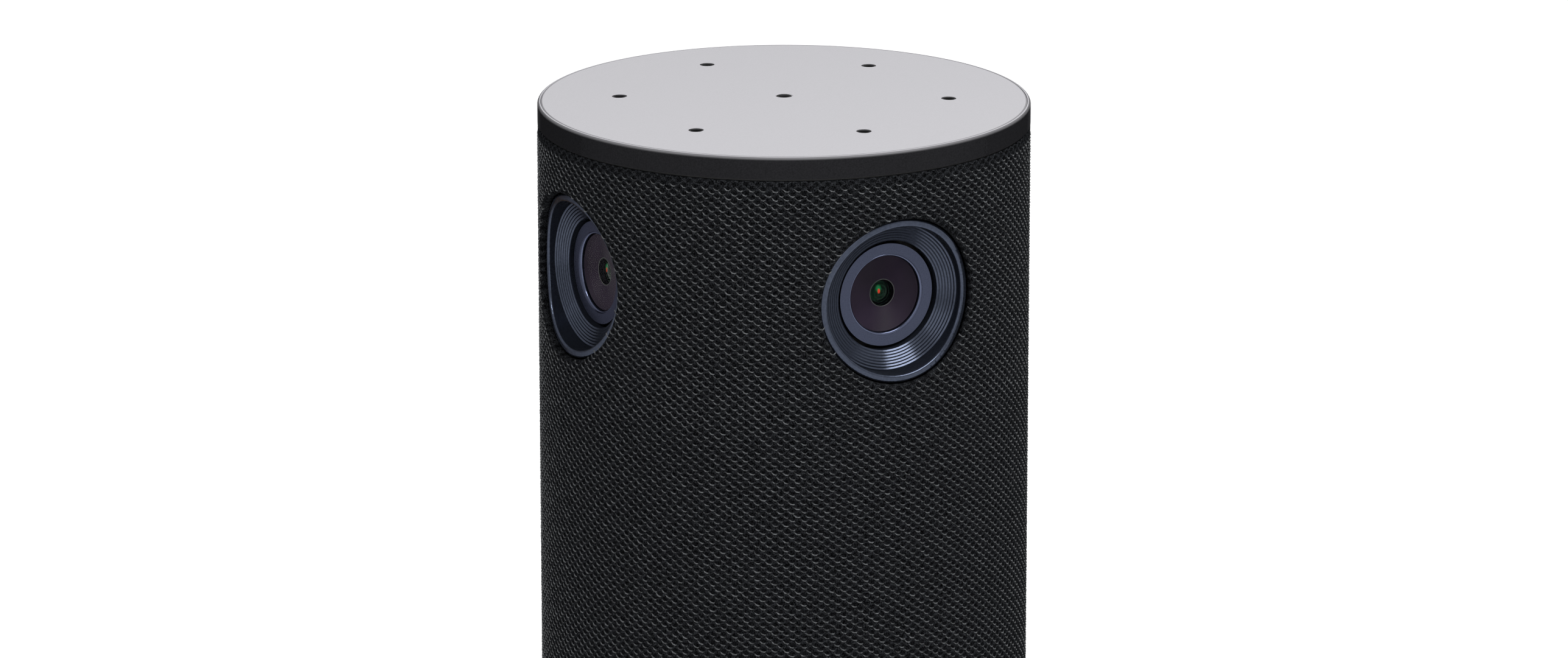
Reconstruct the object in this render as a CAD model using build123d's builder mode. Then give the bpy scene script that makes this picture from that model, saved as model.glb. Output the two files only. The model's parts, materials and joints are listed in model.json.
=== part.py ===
from build123d import *
import os
from math import cos, radians, sin, sqrt

os.makedirs("parts", exist_ok=True)

# Panoramic conference camera: a round tower with four lenses, seven microphones and a loudspeaker.
# Millimetres. The origin is the middle of the footprint on the table, +Z is up and -Y is the front.

# Overall form
body_height = 275.0
body_radius = 54.0
top_crown = 0.8
rim_band_height = 4.8
base_band_height = 31.6
floor_gap = 1.8
band_setback = 0.35
lens_drop = 33.3
lens_sides = {"front": -90, "left": 180, "back": 90, "right": 0}

# Walls and clearances that several pieces share
fabric_thickness = 0.7
shell_thickness = 2.4
collar_thickness = 2.0
collar_height = 6.0
baffle_thickness = 3.0
frame_plate_thickness = 3.0
tub_gap = 3.6
frame_gap = 3.8
nest_gap = 0.3
seam_gap = 0.3
fine_gap = 0.1
screw_slack = 0.05
board_thickness = 1.6
ribbon_thickness = 0.3
overrun = 2.0

# Radii of the nested shells
tube_outer = body_radius - fabric_thickness - nest_gap
tube_inner = tube_outer - shell_thickness
band_radius = body_radius - band_setback
collar_outer = tube_inner - nest_gap
collar_inner = collar_outer - collar_thickness
tub_radius = tube_inner - tub_gap
frame_radius = tube_inner - frame_gap

# Heights of the main joins, stacked down from the lenses to the speaker tub
carrier_drop = 18.9
board_bay_height = 29.0
sound_gap = 49.0
disc_edge_z = body_height - top_crown
rim_bottom_z = disc_edge_z - rim_band_height
band_top_z = floor_gap + base_band_height
lens_z = disc_edge_z - lens_drop
carrier_bottom_z = lens_z - carrier_drop
frame_plate_top_z = carrier_bottom_z - board_bay_height
frame_plate_z = frame_plate_top_z - frame_plate_thickness
baffle_top_z = frame_plate_z - sound_gap
tub_top_z = baffle_top_z - baffle_thickness

# Screws: case screws close the casing, board screws hold boards, tie screws clamp the upper stack
case_screw_radius = 1.2
case_screw_length = 10.0
case_head_radius = 2.4
case_head_height = 1.6
board_screw_radius = 0.75
board_screw_length = 4.0
board_head_radius = 1.5
board_head_height = 1.0
tie_screw_radius = 1.25
tie_head_radius = 2.4
tie_head_height = 1.5
tie_grip = 10.0
socket_share = 0.5
case_bore = case_screw_radius + screw_slack
board_bore = board_screw_radius + screw_slack
tie_bore = tie_screw_radius + screw_slack

# Pillar circle of the inner frame, which the rim and the camera carrier stand on
pillar_setback = 5.3
pillar_radius = 3.4
diagonals = 45
pillar_circle = collar_inner - pillar_setback


def save(piece, name):
    """Label a finished piece and write it under its own name."""
    piece.part.label = name
    export_step(piece.part, f"parts/{name}.step")


def outward(angle):
    """Unit vector that points out of the body at an angle about Z."""
    return Vector(cos(radians(angle)), sin(radians(angle)), 0)


def lens_axis(angle):
    """Optical axis of the lens on one side."""
    return Axis((0, 0, lens_z), outward(angle))


def section_plane(angle):
    """Half section of a lens: x is the radius from its axis, y the distance from the body's axis."""
    return Plane(origin=(0, 0, lens_z), x_dir=outward(angle + 90), z_dir=(0, 0, -1))


def facing_plane(angle, distance):
    """Plane square to a lens axis at a distance from the body's axis, with y upwards."""
    origin = outward(angle) * distance + Vector(0, 0, lens_z)
    return Plane(origin=origin, x_dir=outward(angle + 90), z_dir=outward(angle))


def turned_plane(height):
    """Horizontal plane with its x axis between two lenses, so a round wall's seam misses their holes."""
    return Plane(origin=(0, 0, height), x_dir=outward(diagonals), z_dir=(0, 0, 1))


def ring_profile(*points):
    """Closed profile in the XZ half plane, given as radius and height."""
    with BuildSketch(Plane.XZ) as profile:
        with BuildLine():
            Polyline(*points, close=True)
        make_face()
    return profile.sketch


def lens_profile(angle, *points):
    """Closed half section of a lens, given as radius and distance from the body's axis."""
    with BuildSketch(section_plane(angle)) as profile:
        with BuildLine():
            Polyline(*points, close=True)
        make_face()
    return profile.sketch


def add_screw(seat, shank_radius, shank_length, head_radius, head_height, socket_depth=0):
    """Screw whose head stands on the seat plane and whose shank runs back through it."""
    with BuildSketch(seat) as head:
        Circle(head_radius)
    extrude(head.sketch, amount=head_height)
    with BuildSketch(seat) as shank:
        Circle(shank_radius)
    extrude(shank.sketch, amount=-shank_length)
    if socket_depth:
        with BuildSketch(seat.offset(head_height)) as socket:
            RegularPolygon(head_radius * socket_share, 6)
        extrude(socket.sketch, amount=-socket_depth, mode=Mode.SUBTRACT)


# Top disc: pressed aluminium, slightly domed, with seven microphone holes
plate_margin = 0.75
plate_edge_thickness = 1.6
plate_edge_chamfer = 0.2
mic_margin = 3.4
mic_count = 6
mic_start = 30
mic_hole_radius = 1.65
mic_hole_chamfer = 0.3
mic_chamfer_angle = 45
plate_radius = band_radius - plate_margin
mic_board_radius = pillar_circle - pillar_radius - nest_gap - fine_gap
mic_circle = mic_board_radius - mic_margin
plate_bottom_z = disc_edge_z - plate_edge_thickness
crown_radius = (plate_radius**2 + top_crown**2) / (2 * top_crown)
crown_centre_z = body_height - crown_radius
crown_middle_z = crown_centre_z + sqrt(crown_radius**2 - (plate_radius / 2) ** 2)
mic_rim_z = crown_centre_z + sqrt(crown_radius**2 - mic_circle**2)
crown_start = mic_hole_radius + mic_hole_chamfer
crown_start_z = crown_centre_z + sqrt(crown_radius**2 - crown_start**2)
crown_end = plate_radius - plate_edge_chamfer
crown_end_z = crown_centre_z + sqrt(crown_radius**2 - crown_end**2)

with BuildPart() as top_plate:
    with BuildSketch(Plane.XZ):
        with BuildLine():
            Polyline(
                (crown_start, crown_start_z),
                (mic_hole_radius, crown_start_z - mic_hole_chamfer),
                (mic_hole_radius, plate_bottom_z),
                (plate_radius, plate_bottom_z),
                (plate_radius, disc_edge_z - plate_edge_chamfer),
                (crown_end, crown_end_z),
            )
            ThreePointArc(
                (crown_end, crown_end_z),
                (plate_radius / 2, crown_middle_z),
                (crown_start, crown_start_z),
            )
        make_face()
    revolve(axis=Axis.Z)
    with BuildSketch(Plane.XY.offset(plate_bottom_z - overrun)):
        with PolarLocations(mic_circle, mic_count, start_angle=mic_start):
            Circle(mic_hole_radius)
    extrude(amount=body_height - plate_bottom_z + 2 * overrun, mode=Mode.SUBTRACT)
    with BuildSketch(Plane.XY.offset(mic_rim_z - mic_hole_chamfer)):
        with PolarLocations(mic_circle, mic_count, start_angle=mic_start):
            Circle(mic_hole_radius)
    extrude(amount=2 * mic_hole_chamfer, taper=-mic_chamfer_angle, mode=Mode.SUBTRACT)
save(top_plate, "top_plate")

# Microphone stack under the disc: foam gasket that lines the holes, board with sound ports, and capsules
gasket_thickness = 1.2
gasket_collar_wall = 0.35
sound_port_radius = 0.6
capsule_length = 3.8
capsule_width = 3.0
capsule_height = 1.1
mic_plug_width = 8.0
mic_plug_depth = 3.0
mic_plug_height = 3.0
mic_ribbon_setback = 8.2
mic_ribbon_circle = mic_circle - mic_ribbon_setback
gasket_collar_radius = mic_hole_radius - fine_gap
gasket_hole_radius = gasket_collar_radius - gasket_collar_wall
mic_board_top_z = plate_bottom_z - gasket_thickness
mic_board_bottom_z = mic_board_top_z - board_thickness
mic_plug_bottom_z = mic_board_bottom_z - mic_plug_height

with BuildPart() as mic_gasket:
    with BuildSketch(Plane.XY.offset(mic_board_top_z)):
        Circle(mic_board_radius)
    extrude(amount=gasket_thickness)
    with BuildSketch(Plane.XY.offset(plate_bottom_z)):
        Circle(gasket_collar_radius)
        with PolarLocations(mic_circle, mic_count, start_angle=mic_start):
            Circle(gasket_collar_radius)
    extrude(amount=plate_edge_thickness - fine_gap)
    with BuildSketch(Plane.XY.offset(mic_board_top_z)):
        Circle(gasket_hole_radius)
        with PolarLocations(mic_circle, mic_count, start_angle=mic_start):
            Circle(gasket_hole_radius)
    extrude(amount=gasket_thickness + plate_edge_thickness, mode=Mode.SUBTRACT)
save(mic_gasket, "mic_gasket")

with BuildPart() as mic_board:
    with BuildSketch(Plane.XY.offset(mic_board_bottom_z)):
        Circle(mic_board_radius)
        Circle(sound_port_radius, mode=Mode.SUBTRACT)
        with PolarLocations(mic_circle, mic_count, start_angle=mic_start):
            Circle(sound_port_radius, mode=Mode.SUBTRACT)
    extrude(amount=board_thickness)
    with BuildSketch(Plane.XY.offset(mic_plug_bottom_z)):
        with PolarLocations(mic_ribbon_circle, 1, start_angle=diagonals):
            Rectangle(mic_plug_depth, mic_plug_width)
    extrude(amount=mic_plug_height)
save(mic_board, "mic_board")

with BuildPart() as mic_capsules:
    with BuildSketch(Plane.XY.offset(mic_board_bottom_z)):
        Rectangle(capsule_width, capsule_length)
        with PolarLocations(mic_circle, mic_count, start_angle=mic_start):
            Rectangle(capsule_width, capsule_length)
    extrude(amount=-capsule_height)
save(mic_capsules, "mic_capsules")

# Top rim: moulded ring round the disc, with a ledge for the board and a collar inside the tube
rim_ledge_width = 1.2
rim_ledge_thickness = 1.2
rim_web_thickness = 2.6
rim_round_share = 0.9
rim_recess_radius = plate_radius + fine_gap
rim_web_inner = mic_board_radius + nest_gap
rim_ledge_inner = mic_board_radius - rim_ledge_width
rim_web_bottom_z = plate_bottom_z - rim_web_thickness
rim_ledge_bottom_z = mic_board_bottom_z - rim_ledge_thickness
rim_collar_bottom_z = rim_bottom_z - collar_height
carrier_top_z = mic_plug_bottom_z - nest_gap
tie_seat_z = plate_bottom_z - tie_head_height - fine_gap

with BuildPart() as top_rim:
    revolve(
        ring_profile(
            (band_radius, rim_bottom_z),
            (band_radius, disc_edge_z),
            (rim_recess_radius, disc_edge_z),
            (rim_recess_radius, plate_bottom_z),
            (rim_web_inner, plate_bottom_z),
            (rim_web_inner, mic_board_bottom_z),
            (rim_ledge_inner, mic_board_bottom_z),
            (rim_ledge_inner, rim_ledge_bottom_z),
            (rim_web_inner + rim_ledge_width, rim_ledge_bottom_z),
            (rim_web_inner + rim_ledge_width, rim_web_bottom_z),
            (collar_inner, rim_web_bottom_z),
            (collar_inner, rim_collar_bottom_z),
            (collar_outer, rim_collar_bottom_z),
            (collar_outer, rim_bottom_z),
        ),
        axis=Axis.Z,
    )
    top_edges = top_rim.edges().filter_by(GeomType.CIRCLE).group_by(Axis.Z)[-1]
    fillet(top_edges.sort_by(SortBy.LENGTH)[-1], (band_radius - rim_recess_radius) * rim_round_share)
    with BuildSketch(Plane.XY.offset(carrier_top_z)):
        with PolarLocations(pillar_circle, 4, start_angle=diagonals):
            Circle(pillar_radius)
    extrude(amount=rim_web_bottom_z - carrier_top_z)
    with Locations(Plane.XY.offset(plate_bottom_z)):
        with PolarLocations(pillar_circle, 4, start_angle=diagonals):
            CounterBoreHole(
                tie_bore,
                tie_head_radius + fine_gap,
                plate_bottom_z - tie_seat_z,
                body_height - carrier_top_z,
            )
save(top_rim, "top_rim")

# Lens surround: a cup whose lip follows the round body and whose cone steps down to the barrel
bezel_radius = 17.85
bezel_wall = 1.65
lip_recess = 1.7
lip_round = 0.5
stair_depth = 4.1
stair_drop = 1.5
stair_inner = 12.0
stair_count = 7
stair_groove = 0.14
cone_thickness = 1.5
bezel_sleeve_wall = 1.3
bezel_sleeve_depth = 3.4
bezel_height = 12.3
lip_radius = body_radius - lip_recess
carrier_face = lip_radius - bezel_height
stair_outer = bezel_radius - bezel_wall
stair_top = lip_radius - stair_depth
stair_bottom = stair_top - stair_drop
stair_pitch = (stair_outer - stair_inner) / stair_count
stair_rise = stair_drop / stair_count


def stair_points():
    """Treads and slopes of the cone, from its outer edge inwards."""
    points = []
    for step in range(stair_count):
        tread_start = stair_outer - step * stair_pitch
        level = stair_top - step * stair_rise
        points.append((tread_start, level - stair_groove))
        points.append((tread_start - stair_pitch / 2, level - stair_rise / 2))
    points.append((stair_inner, stair_bottom - stair_groove))
    return points


for side, angle in lens_sides.items():
    with BuildPart() as lens_bezel:
        revolve(
            lens_profile(
                angle,
                (bezel_radius, carrier_face),
                (bezel_radius, body_radius + overrun),
                (stair_outer, body_radius + overrun),
                *stair_points(),
                (stair_inner, stair_bottom - bezel_sleeve_depth),
                (stair_inner + bezel_sleeve_wall, stair_bottom - bezel_sleeve_depth),
                (stair_inner + bezel_sleeve_wall, stair_bottom - cone_thickness),
                (stair_outer, stair_top - cone_thickness),
                (stair_outer, carrier_face),
            ),
            axis=lens_axis(angle),
        )
        with BuildSketch(turned_plane(lens_z - bezel_radius - overrun)):
            Circle(lip_radius)
        extrude(amount=2 * (bezel_radius + overrun), mode=Mode.INTERSECT)
        saddle_edges = lens_bezel.edges().filter_by(
            lambda edge: edge.geom_type not in (GeomType.CIRCLE, GeomType.LINE)
        )
        fillet(saddle_edges, lip_round)
    save(lens_bezel, f"lens_bezel_{side}")

# Lens barrel with its front ring, flat cover glass, domed front element and foot on the sensor board
ring_radius = 11.2
ring_setback = 6.5
ring_height = 4.6
ring_inner = 8.9
glass_radius = 8.35
glass_setback = 1.0
glass_thickness = 0.9
glass_seat = 6.6
barrel_radius = 9.6
barrel_neck_radius = 7.0
barrel_body_length = 11.8
barrel_length = 21.8
barrel_foot_width = 21.0
barrel_foot_thickness = 3.5
element_radius = 4.6
element_dome = 1.7
element_edge = 2.6
element_setback = 0.6
aperture_radius = 3.4
sensor_window = 12.0
sensor_window_depth = 2.4
ring_face = lip_radius - ring_setback
barrel_neck_face = ring_face - barrel_body_length
sensor_face = ring_face - barrel_length
glass_face = ring_face - glass_setback
glass_back = glass_face - glass_thickness
element_front = glass_back - element_setback
element_back = element_front - element_dome - element_edge
recess_radius = glass_radius + fine_gap
element_bore = element_radius + fine_gap

for side, angle in lens_sides.items():
    with BuildPart() as lens_barrel:
        revolve(
            lens_profile(
                angle,
                (ring_inner, ring_face),
                (ring_radius, ring_face),
                (ring_radius, ring_face - ring_height),
                (barrel_radius, ring_face - ring_height),
                (barrel_radius, barrel_neck_face),
                (barrel_neck_radius, barrel_neck_face),
                (barrel_neck_radius, sensor_face),
                (aperture_radius, sensor_face),
                (aperture_radius, element_back),
                (element_bore, element_back),
                (element_bore, element_front),
                (glass_seat, glass_back),
                (recess_radius, glass_back),
                (recess_radius, glass_face),
            ),
            axis=lens_axis(angle),
        )
        with BuildSketch(facing_plane(angle, sensor_face)):
            Rectangle(barrel_foot_width, barrel_foot_width)
            Circle(aperture_radius, mode=Mode.SUBTRACT)
        extrude(amount=barrel_foot_thickness)
        with BuildSketch(facing_plane(angle, sensor_face)):
            Rectangle(sensor_window, sensor_window)
        extrude(amount=sensor_window_depth, mode=Mode.SUBTRACT)
    save(lens_barrel, f"lens_barrel_{side}")

    with BuildPart() as cover_glass:
        with BuildSketch(facing_plane(angle, glass_back)):
            Circle(glass_radius)
        extrude(amount=glass_thickness)
    save(cover_glass, f"cover_glass_{side}")

    with BuildPart() as front_element:
        with BuildSketch(section_plane(angle)):
            with BuildLine():
                Polyline(
                    (0, element_front),
                    (0, element_back),
                    (element_radius, element_back),
                    (element_radius, element_back + element_edge),
                )
                dome_radius = (element_radius**2 + element_dome**2) / (2 * element_dome)
                RadiusArc(
                    (element_radius, element_back + element_edge), (0, element_front), -dome_radius
                )
            make_face()
        revolve(axis=lens_axis(angle))
    save(front_element, f"front_element_{side}")

# Sensor boards behind the barrels, with the image sensor in front and a ribbon plug behind
sensor_board_width = 30.0
sensor_board_thickness = 1.2
sensor_post_margin = 2.5
sensor_chip_width = 8.0
sensor_chip_height = 1.4
sensor_plug_width = 10.0
sensor_plug_height = 4.0
sensor_plug_depth = 1.6
sensor_plug_drop = 11.0
sensor_post_spacing = sensor_board_width - 2 * sensor_post_margin
sensor_rear = sensor_face - sensor_board_thickness
screw_corners = ((-1, -1), (1, 1))

for side, angle in lens_sides.items():
    with BuildPart() as sensor_board:
        with BuildSketch(facing_plane(angle, sensor_rear)):
            Rectangle(sensor_board_width, sensor_board_width)
            for across, up in screw_corners:
                with Locations((across * sensor_post_spacing / 2, up * sensor_post_spacing / 2)):
                    Circle(board_bore, mode=Mode.SUBTRACT)
        extrude(amount=sensor_board_thickness)
        with BuildSketch(facing_plane(angle, sensor_face)):
            Rectangle(sensor_chip_width, sensor_chip_width)
        extrude(amount=sensor_chip_height)
        with BuildSketch(facing_plane(angle, sensor_rear)):
            with Locations((0, -sensor_plug_drop)):
                Rectangle(sensor_plug_width, sensor_plug_height)
        extrude(amount=-sensor_plug_depth)
    save(sensor_board, f"sensor_board_{side}")

# Camera carrier: square box with rounded corners that holds the four lenses and their boards
carrier_wall = 2.5
carrier_window_margin = 10.0
sensor_post_radius = 2.2
carrier_window_radius = pillar_circle - carrier_window_margin
carrier_radius = collar_inner - nest_gap - fine_gap
carrier_height = carrier_top_z - carrier_bottom_z
carrier_inner_face = carrier_face - carrier_wall

with BuildPart() as camera_carrier:
    with BuildSketch(Plane.XY.offset(carrier_bottom_z)):
        Rectangle(2 * carrier_face, 2 * carrier_face)
        Circle(carrier_radius, mode=Mode.INTERSECT)
    extrude(amount=carrier_height)
    with BuildSketch(Plane.XY.offset(carrier_bottom_z)):
        Rectangle(2 * carrier_inner_face, 2 * carrier_inner_face)
        Circle(carrier_radius - carrier_wall, mode=Mode.INTERSECT)
    extrude(amount=carrier_height - carrier_wall, mode=Mode.SUBTRACT)
    with BuildSketch(Plane.XY.offset(carrier_bottom_z)):
        with PolarLocations(pillar_circle, 4, start_angle=diagonals):
            Circle(pillar_radius)
    extrude(amount=carrier_height)
    for angle in lens_sides.values():
        with BuildSketch(facing_plane(angle, sensor_face)):
            with GridLocations(sensor_post_spacing, sensor_post_spacing, 2, 2):
                Circle(sensor_post_radius)
        extrude(amount=carrier_inner_face - sensor_face)
        with BuildSketch(facing_plane(angle, carrier_inner_face)):
            Circle(barrel_radius + nest_gap)
        extrude(amount=carrier_wall + overrun, mode=Mode.SUBTRACT)
        with BuildSketch(facing_plane(angle, sensor_face)):
            for across, up in screw_corners:
                with Locations((across * sensor_post_spacing / 2, up * sensor_post_spacing / 2)):
                    Circle(board_bore)
        extrude(amount=board_screw_length, mode=Mode.SUBTRACT)
    with BuildSketch(Plane.XY.offset(carrier_bottom_z - overrun)):
        Circle(carrier_window_radius)
    extrude(amount=overrun + carrier_wall, mode=Mode.SUBTRACT)
    with BuildSketch(Plane.XY.offset(carrier_top_z - carrier_wall)):
        Circle(carrier_window_radius)
    extrude(amount=carrier_wall + overrun, mode=Mode.SUBTRACT)
    with BuildSketch(Plane.XY.offset(carrier_bottom_z - overrun)):
        with PolarLocations(pillar_circle, 4, start_angle=diagonals):
            Circle(tie_bore)
    extrude(amount=carrier_height + 2 * overrun, mode=Mode.SUBTRACT)
save(camera_carrier, "camera_carrier")

# Fabric sleeve: woven tube whose cut edges are turned in round the four lenses
fabric_hole_gap = 0.15
fabric_tuck = 3.0
fabric_round = 0.45
fabric_hole_radius = bezel_radius + fabric_hole_gap
tuck_radius = fabric_hole_radius + fabric_thickness
sleeve_bottom_z = band_top_z + seam_gap
sleeve_length = rim_bottom_z - seam_gap - sleeve_bottom_z

with BuildPart() as sleeve_waste:
    with BuildSketch(turned_plane(sleeve_bottom_z - overrun)):
        Circle(body_radius - fabric_thickness)
        Circle(body_radius - fabric_tuck - overrun, mode=Mode.SUBTRACT)
    extrude(amount=sleeve_length + 2 * overrun)
    for angle in lens_sides.values():
        with BuildSketch(facing_plane(angle, carrier_face)):
            Circle(tuck_radius)
        extrude(amount=body_radius + overrun - carrier_face, mode=Mode.SUBTRACT)

with BuildPart() as fabric_sleeve:
    with BuildSketch(turned_plane(sleeve_bottom_z)):
        Circle(body_radius)
        Circle(body_radius - fabric_tuck, mode=Mode.SUBTRACT)
    extrude(amount=sleeve_length)
    add(sleeve_waste.part, mode=Mode.SUBTRACT)
    for angle in lens_sides.values():
        with BuildSketch(facing_plane(angle, carrier_face)):
            Circle(fabric_hole_radius)
        extrude(amount=body_radius + overrun - carrier_face, mode=Mode.SUBTRACT)
    outer_face = fabric_sleeve.faces().sort_by(SortBy.AREA)[-1]
    fillet(
        outer_face.edges().filter_by(lambda edge: edge.geom_type not in (GeomType.CIRCLE, GeomType.LINE)),
        fabric_round,
    )
save(fabric_sleeve, "fabric_sleeve")

# Grille tube: moulded tube that carries the fabric, with upright sound slots level with the diffuser
slot_width = 4.0
slot_count = 20
slot_end_margin = 5.0
slot_length = sound_gap - 2 * slot_end_margin

with BuildPart() as grille_tube:
    with BuildSketch(turned_plane(band_top_z)):
        Circle(tube_outer)
        Circle(tube_inner, mode=Mode.SUBTRACT)
    extrude(amount=rim_bottom_z - band_top_z)
    for angle in lens_sides.values():
        with BuildSketch(facing_plane(angle, carrier_face)):
            Circle(tuck_radius + nest_gap)
        extrude(amount=body_radius - carrier_face, mode=Mode.SUBTRACT)
    for step in range(slot_count // 2):
        turn = step * 360 / slot_count
        slot_plane = Plane(
            origin=(0, 0, baffle_top_z + sound_gap / 2), x_dir=(0, 0, 1), z_dir=outward(turn)
        )
        with BuildSketch(slot_plane):
            SlotOverall(slot_length, slot_width)
        extrude(amount=body_radius, both=True, mode=Mode.SUBTRACT)
save(grille_tube, "grille_tube")

# Inner frame: foot ring, pillars, plate for the main board and sound diffuser in one moulding
foot_ring_width = 10.8
foot_ring_thickness = 2.5
frame_screw_setback = 5.5
standoff_margin = 5.3
standoff_start = 25
standoff_radius = 3.0
standoff_height = 5.0
diffuser_margin = 4.0
diffuser_depth = 32.0
diffuser_tip = 2.0
diffuser_wall = 2.4
diffuser_share = (0.42, 0.58)
main_board_radius = pillar_circle - pillar_radius - nest_gap
standoff_circle = main_board_radius - standoff_margin
diffuser_radius = standoff_circle + diffuser_margin
diffuser_hollow_radius = standoff_circle - 2 * standoff_radius
foot_ring_inner = frame_radius - foot_ring_width
frame_screw_circle = tub_radius - frame_screw_setback
diffuser_tip_z = frame_plate_z - diffuser_depth
foot_ring_top_z = baffle_top_z + foot_ring_thickness
main_board_z = frame_plate_top_z + standoff_height

with BuildPart() as core_frame:
    with BuildSketch(Plane.XZ):
        with BuildLine():
            Polyline(
                (diffuser_radius, frame_plate_z),
                (diffuser_radius, frame_plate_z + frame_plate_thickness / 2),
                (0, frame_plate_z + frame_plate_thickness / 2),
                (0, diffuser_tip_z),
                (diffuser_tip, diffuser_tip_z),
            )
            ThreePointArc(
                (diffuser_tip, diffuser_tip_z),
                (diffuser_radius * diffuser_share[0], diffuser_tip_z + diffuser_depth * diffuser_share[1]),
                (diffuser_radius, frame_plate_z),
            )
        make_face()
    revolve(axis=Axis.Z)
    with BuildSketch(Plane.XY.offset(frame_plate_z)):
        Circle(frame_radius)
    extrude(amount=frame_plate_thickness)
    with BuildSketch(Plane.XY.offset(baffle_top_z)):
        Circle(frame_radius)
        Circle(foot_ring_inner, mode=Mode.SUBTRACT)
    extrude(amount=foot_ring_thickness)
    with BuildSketch(Plane.XY.offset(baffle_top_z)):
        with PolarLocations(pillar_circle, 4, start_angle=diagonals):
            Circle(pillar_radius)
    extrude(amount=carrier_bottom_z - baffle_top_z)
    with BuildSketch(Plane.XY.offset(frame_plate_top_z)):
        with PolarLocations(standoff_circle, 4, start_angle=standoff_start):
            Circle(standoff_radius)
    extrude(amount=standoff_height)
    with Locations(Plane.XY.offset(main_board_z)):
        with PolarLocations(standoff_circle, 4, start_angle=standoff_start):
            Hole(board_bore, board_screw_length)
    with Locations(Plane.XY.offset(carrier_bottom_z)):
        with PolarLocations(pillar_circle, 4, start_angle=diagonals):
            Hole(tie_bore, tie_grip + fine_gap)
    with Locations(Plane.XY.offset(foot_ring_top_z)):
        with PolarLocations(frame_screw_circle, 4):
            Hole(case_bore, foot_ring_thickness)
    with BuildSketch(Plane.XZ):
        with BuildLine():
            Polyline(
                (0, diffuser_tip_z + 3 * diffuser_wall),
                (0, frame_plate_top_z + overrun),
                (diffuser_hollow_radius, frame_plate_top_z + overrun),
                (diffuser_hollow_radius, frame_plate_z),
            )
            Line(
                (diffuser_hollow_radius, frame_plate_z),
                (0, diffuser_tip_z + 3 * diffuser_wall),
            )
        make_face()
    revolve(axis=Axis.Z, mode=Mode.SUBTRACT)
save(core_frame, "core_frame")

# Main board on the frame's standoffs, with its processor, memory and ribbon sockets
processor_width = 15.0
processor_height = 1.5
socket_height = 2.0
sensor_socket_depth = 3.0
mic_socket_depth = 3.0
base_socket_width = 12.0
base_socket_depth = 4.5
base_socket_margin = 0.8
memory_width = 9.0
memory_length = 11.0
memory_height = 1.0
memory_setback = 10.3
memory_turns = (160, 250)
memory_circle = main_board_radius - memory_setback
base_socket_face = main_board_radius - base_socket_margin
sensor_socket_circle = sensor_rear - sensor_plug_depth - ribbon_thickness / 2
main_board_top_z = main_board_z + board_thickness
socket_top_z = main_board_top_z + socket_height

with BuildPart() as main_board:
    with BuildSketch(Plane.XY.offset(main_board_z)):
        Circle(main_board_radius)
        with PolarLocations(standoff_circle, 4, start_angle=standoff_start):
            Circle(board_bore, mode=Mode.SUBTRACT)
    extrude(amount=board_thickness)
    with BuildSketch(Plane.XY.offset(main_board_top_z)):
        Rectangle(processor_width, processor_width)
    extrude(amount=processor_height)
    with BuildSketch(Plane.XY.offset(main_board_top_z)):
        with PolarLocations(sensor_socket_circle, 4):
            Rectangle(sensor_socket_depth, sensor_plug_width)
        with PolarLocations(mic_ribbon_circle, 1, start_angle=diagonals):
            Rectangle(mic_socket_depth, mic_plug_width)
        with Locations((0, base_socket_face - base_socket_depth / 2)):
            Rectangle(base_socket_width, base_socket_depth)
    extrude(amount=socket_height)
    with BuildSketch(Plane.XY.offset(main_board_top_z)):
        for turn in memory_turns:
            with PolarLocations(memory_circle, 1, start_angle=turn):
                Rectangle(memory_width, memory_length)
    extrude(amount=memory_height)
save(main_board, "main_board")

# Heat sink: extruded aluminium with straight fins, standing on the processor
sink_clearance = 3.6
sink_base = 3.0
sink_height = 14.0
fin_thickness = 1.2
fin_count = 8
sink_width = (mic_ribbon_circle - sink_clearance) * sqrt(2)
sink_bottom_z = main_board_top_z + processor_height
fin_pitch = (sink_width - fin_thickness) / (fin_count - 1)

with BuildPart() as heat_sink:
    with BuildSketch(Plane.XY.offset(sink_bottom_z)):
        Rectangle(sink_width, sink_width)
    extrude(amount=sink_base)
    with BuildSketch(Plane.XY.offset(sink_bottom_z + sink_base)):
        with GridLocations(fin_pitch, 0, fin_count, 1):
            Rectangle(fin_thickness, sink_width)
    extrude(amount=sink_height - sink_base)
save(heat_sink, "heat_sink")

# Speaker tub: closed air volume behind the driver, with bosses in its floor and wall
tub_wall = 2.6
tub_floor = 3.0
boss_radius = 3.4
floor_boss_height = 8.0
floor_screw_setback = 17.0
wall_boss_height = 18.0
floor_screw_circle = tub_radius - floor_screw_setback
tub_floor_z = band_top_z + tub_floor

with BuildPart() as speaker_tub:
    revolve(
        ring_profile(
            (0, band_top_z),
            (tub_radius, band_top_z),
            (tub_radius, tub_top_z),
            (tub_radius - tub_wall, tub_top_z),
            (tub_radius - tub_wall, tub_floor_z),
            (0, tub_floor_z),
        ),
        axis=Axis.Z,
    )
    with BuildSketch(Plane.XY.offset(band_top_z)):
        with PolarLocations(floor_screw_circle, 4):
            Circle(boss_radius)
    extrude(amount=tub_floor + floor_boss_height)
    with BuildSketch(Plane.XY.offset(tub_top_z)):
        with PolarLocations(frame_screw_circle, 4):
            Circle(boss_radius)
    extrude(amount=-wall_boss_height)
    with BuildSketch(Plane.XY.offset(band_top_z)):
        with PolarLocations(floor_screw_circle, 4):
            Circle(case_bore)
    extrude(amount=case_screw_length, mode=Mode.SUBTRACT)
    with BuildSketch(Plane.XY.offset(tub_top_z)):
        with PolarLocations(frame_screw_circle, 4):
            Circle(case_bore)
    extrude(amount=-case_screw_length, mode=Mode.SUBTRACT)
save(speaker_tub, "speaker_tub")

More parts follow.
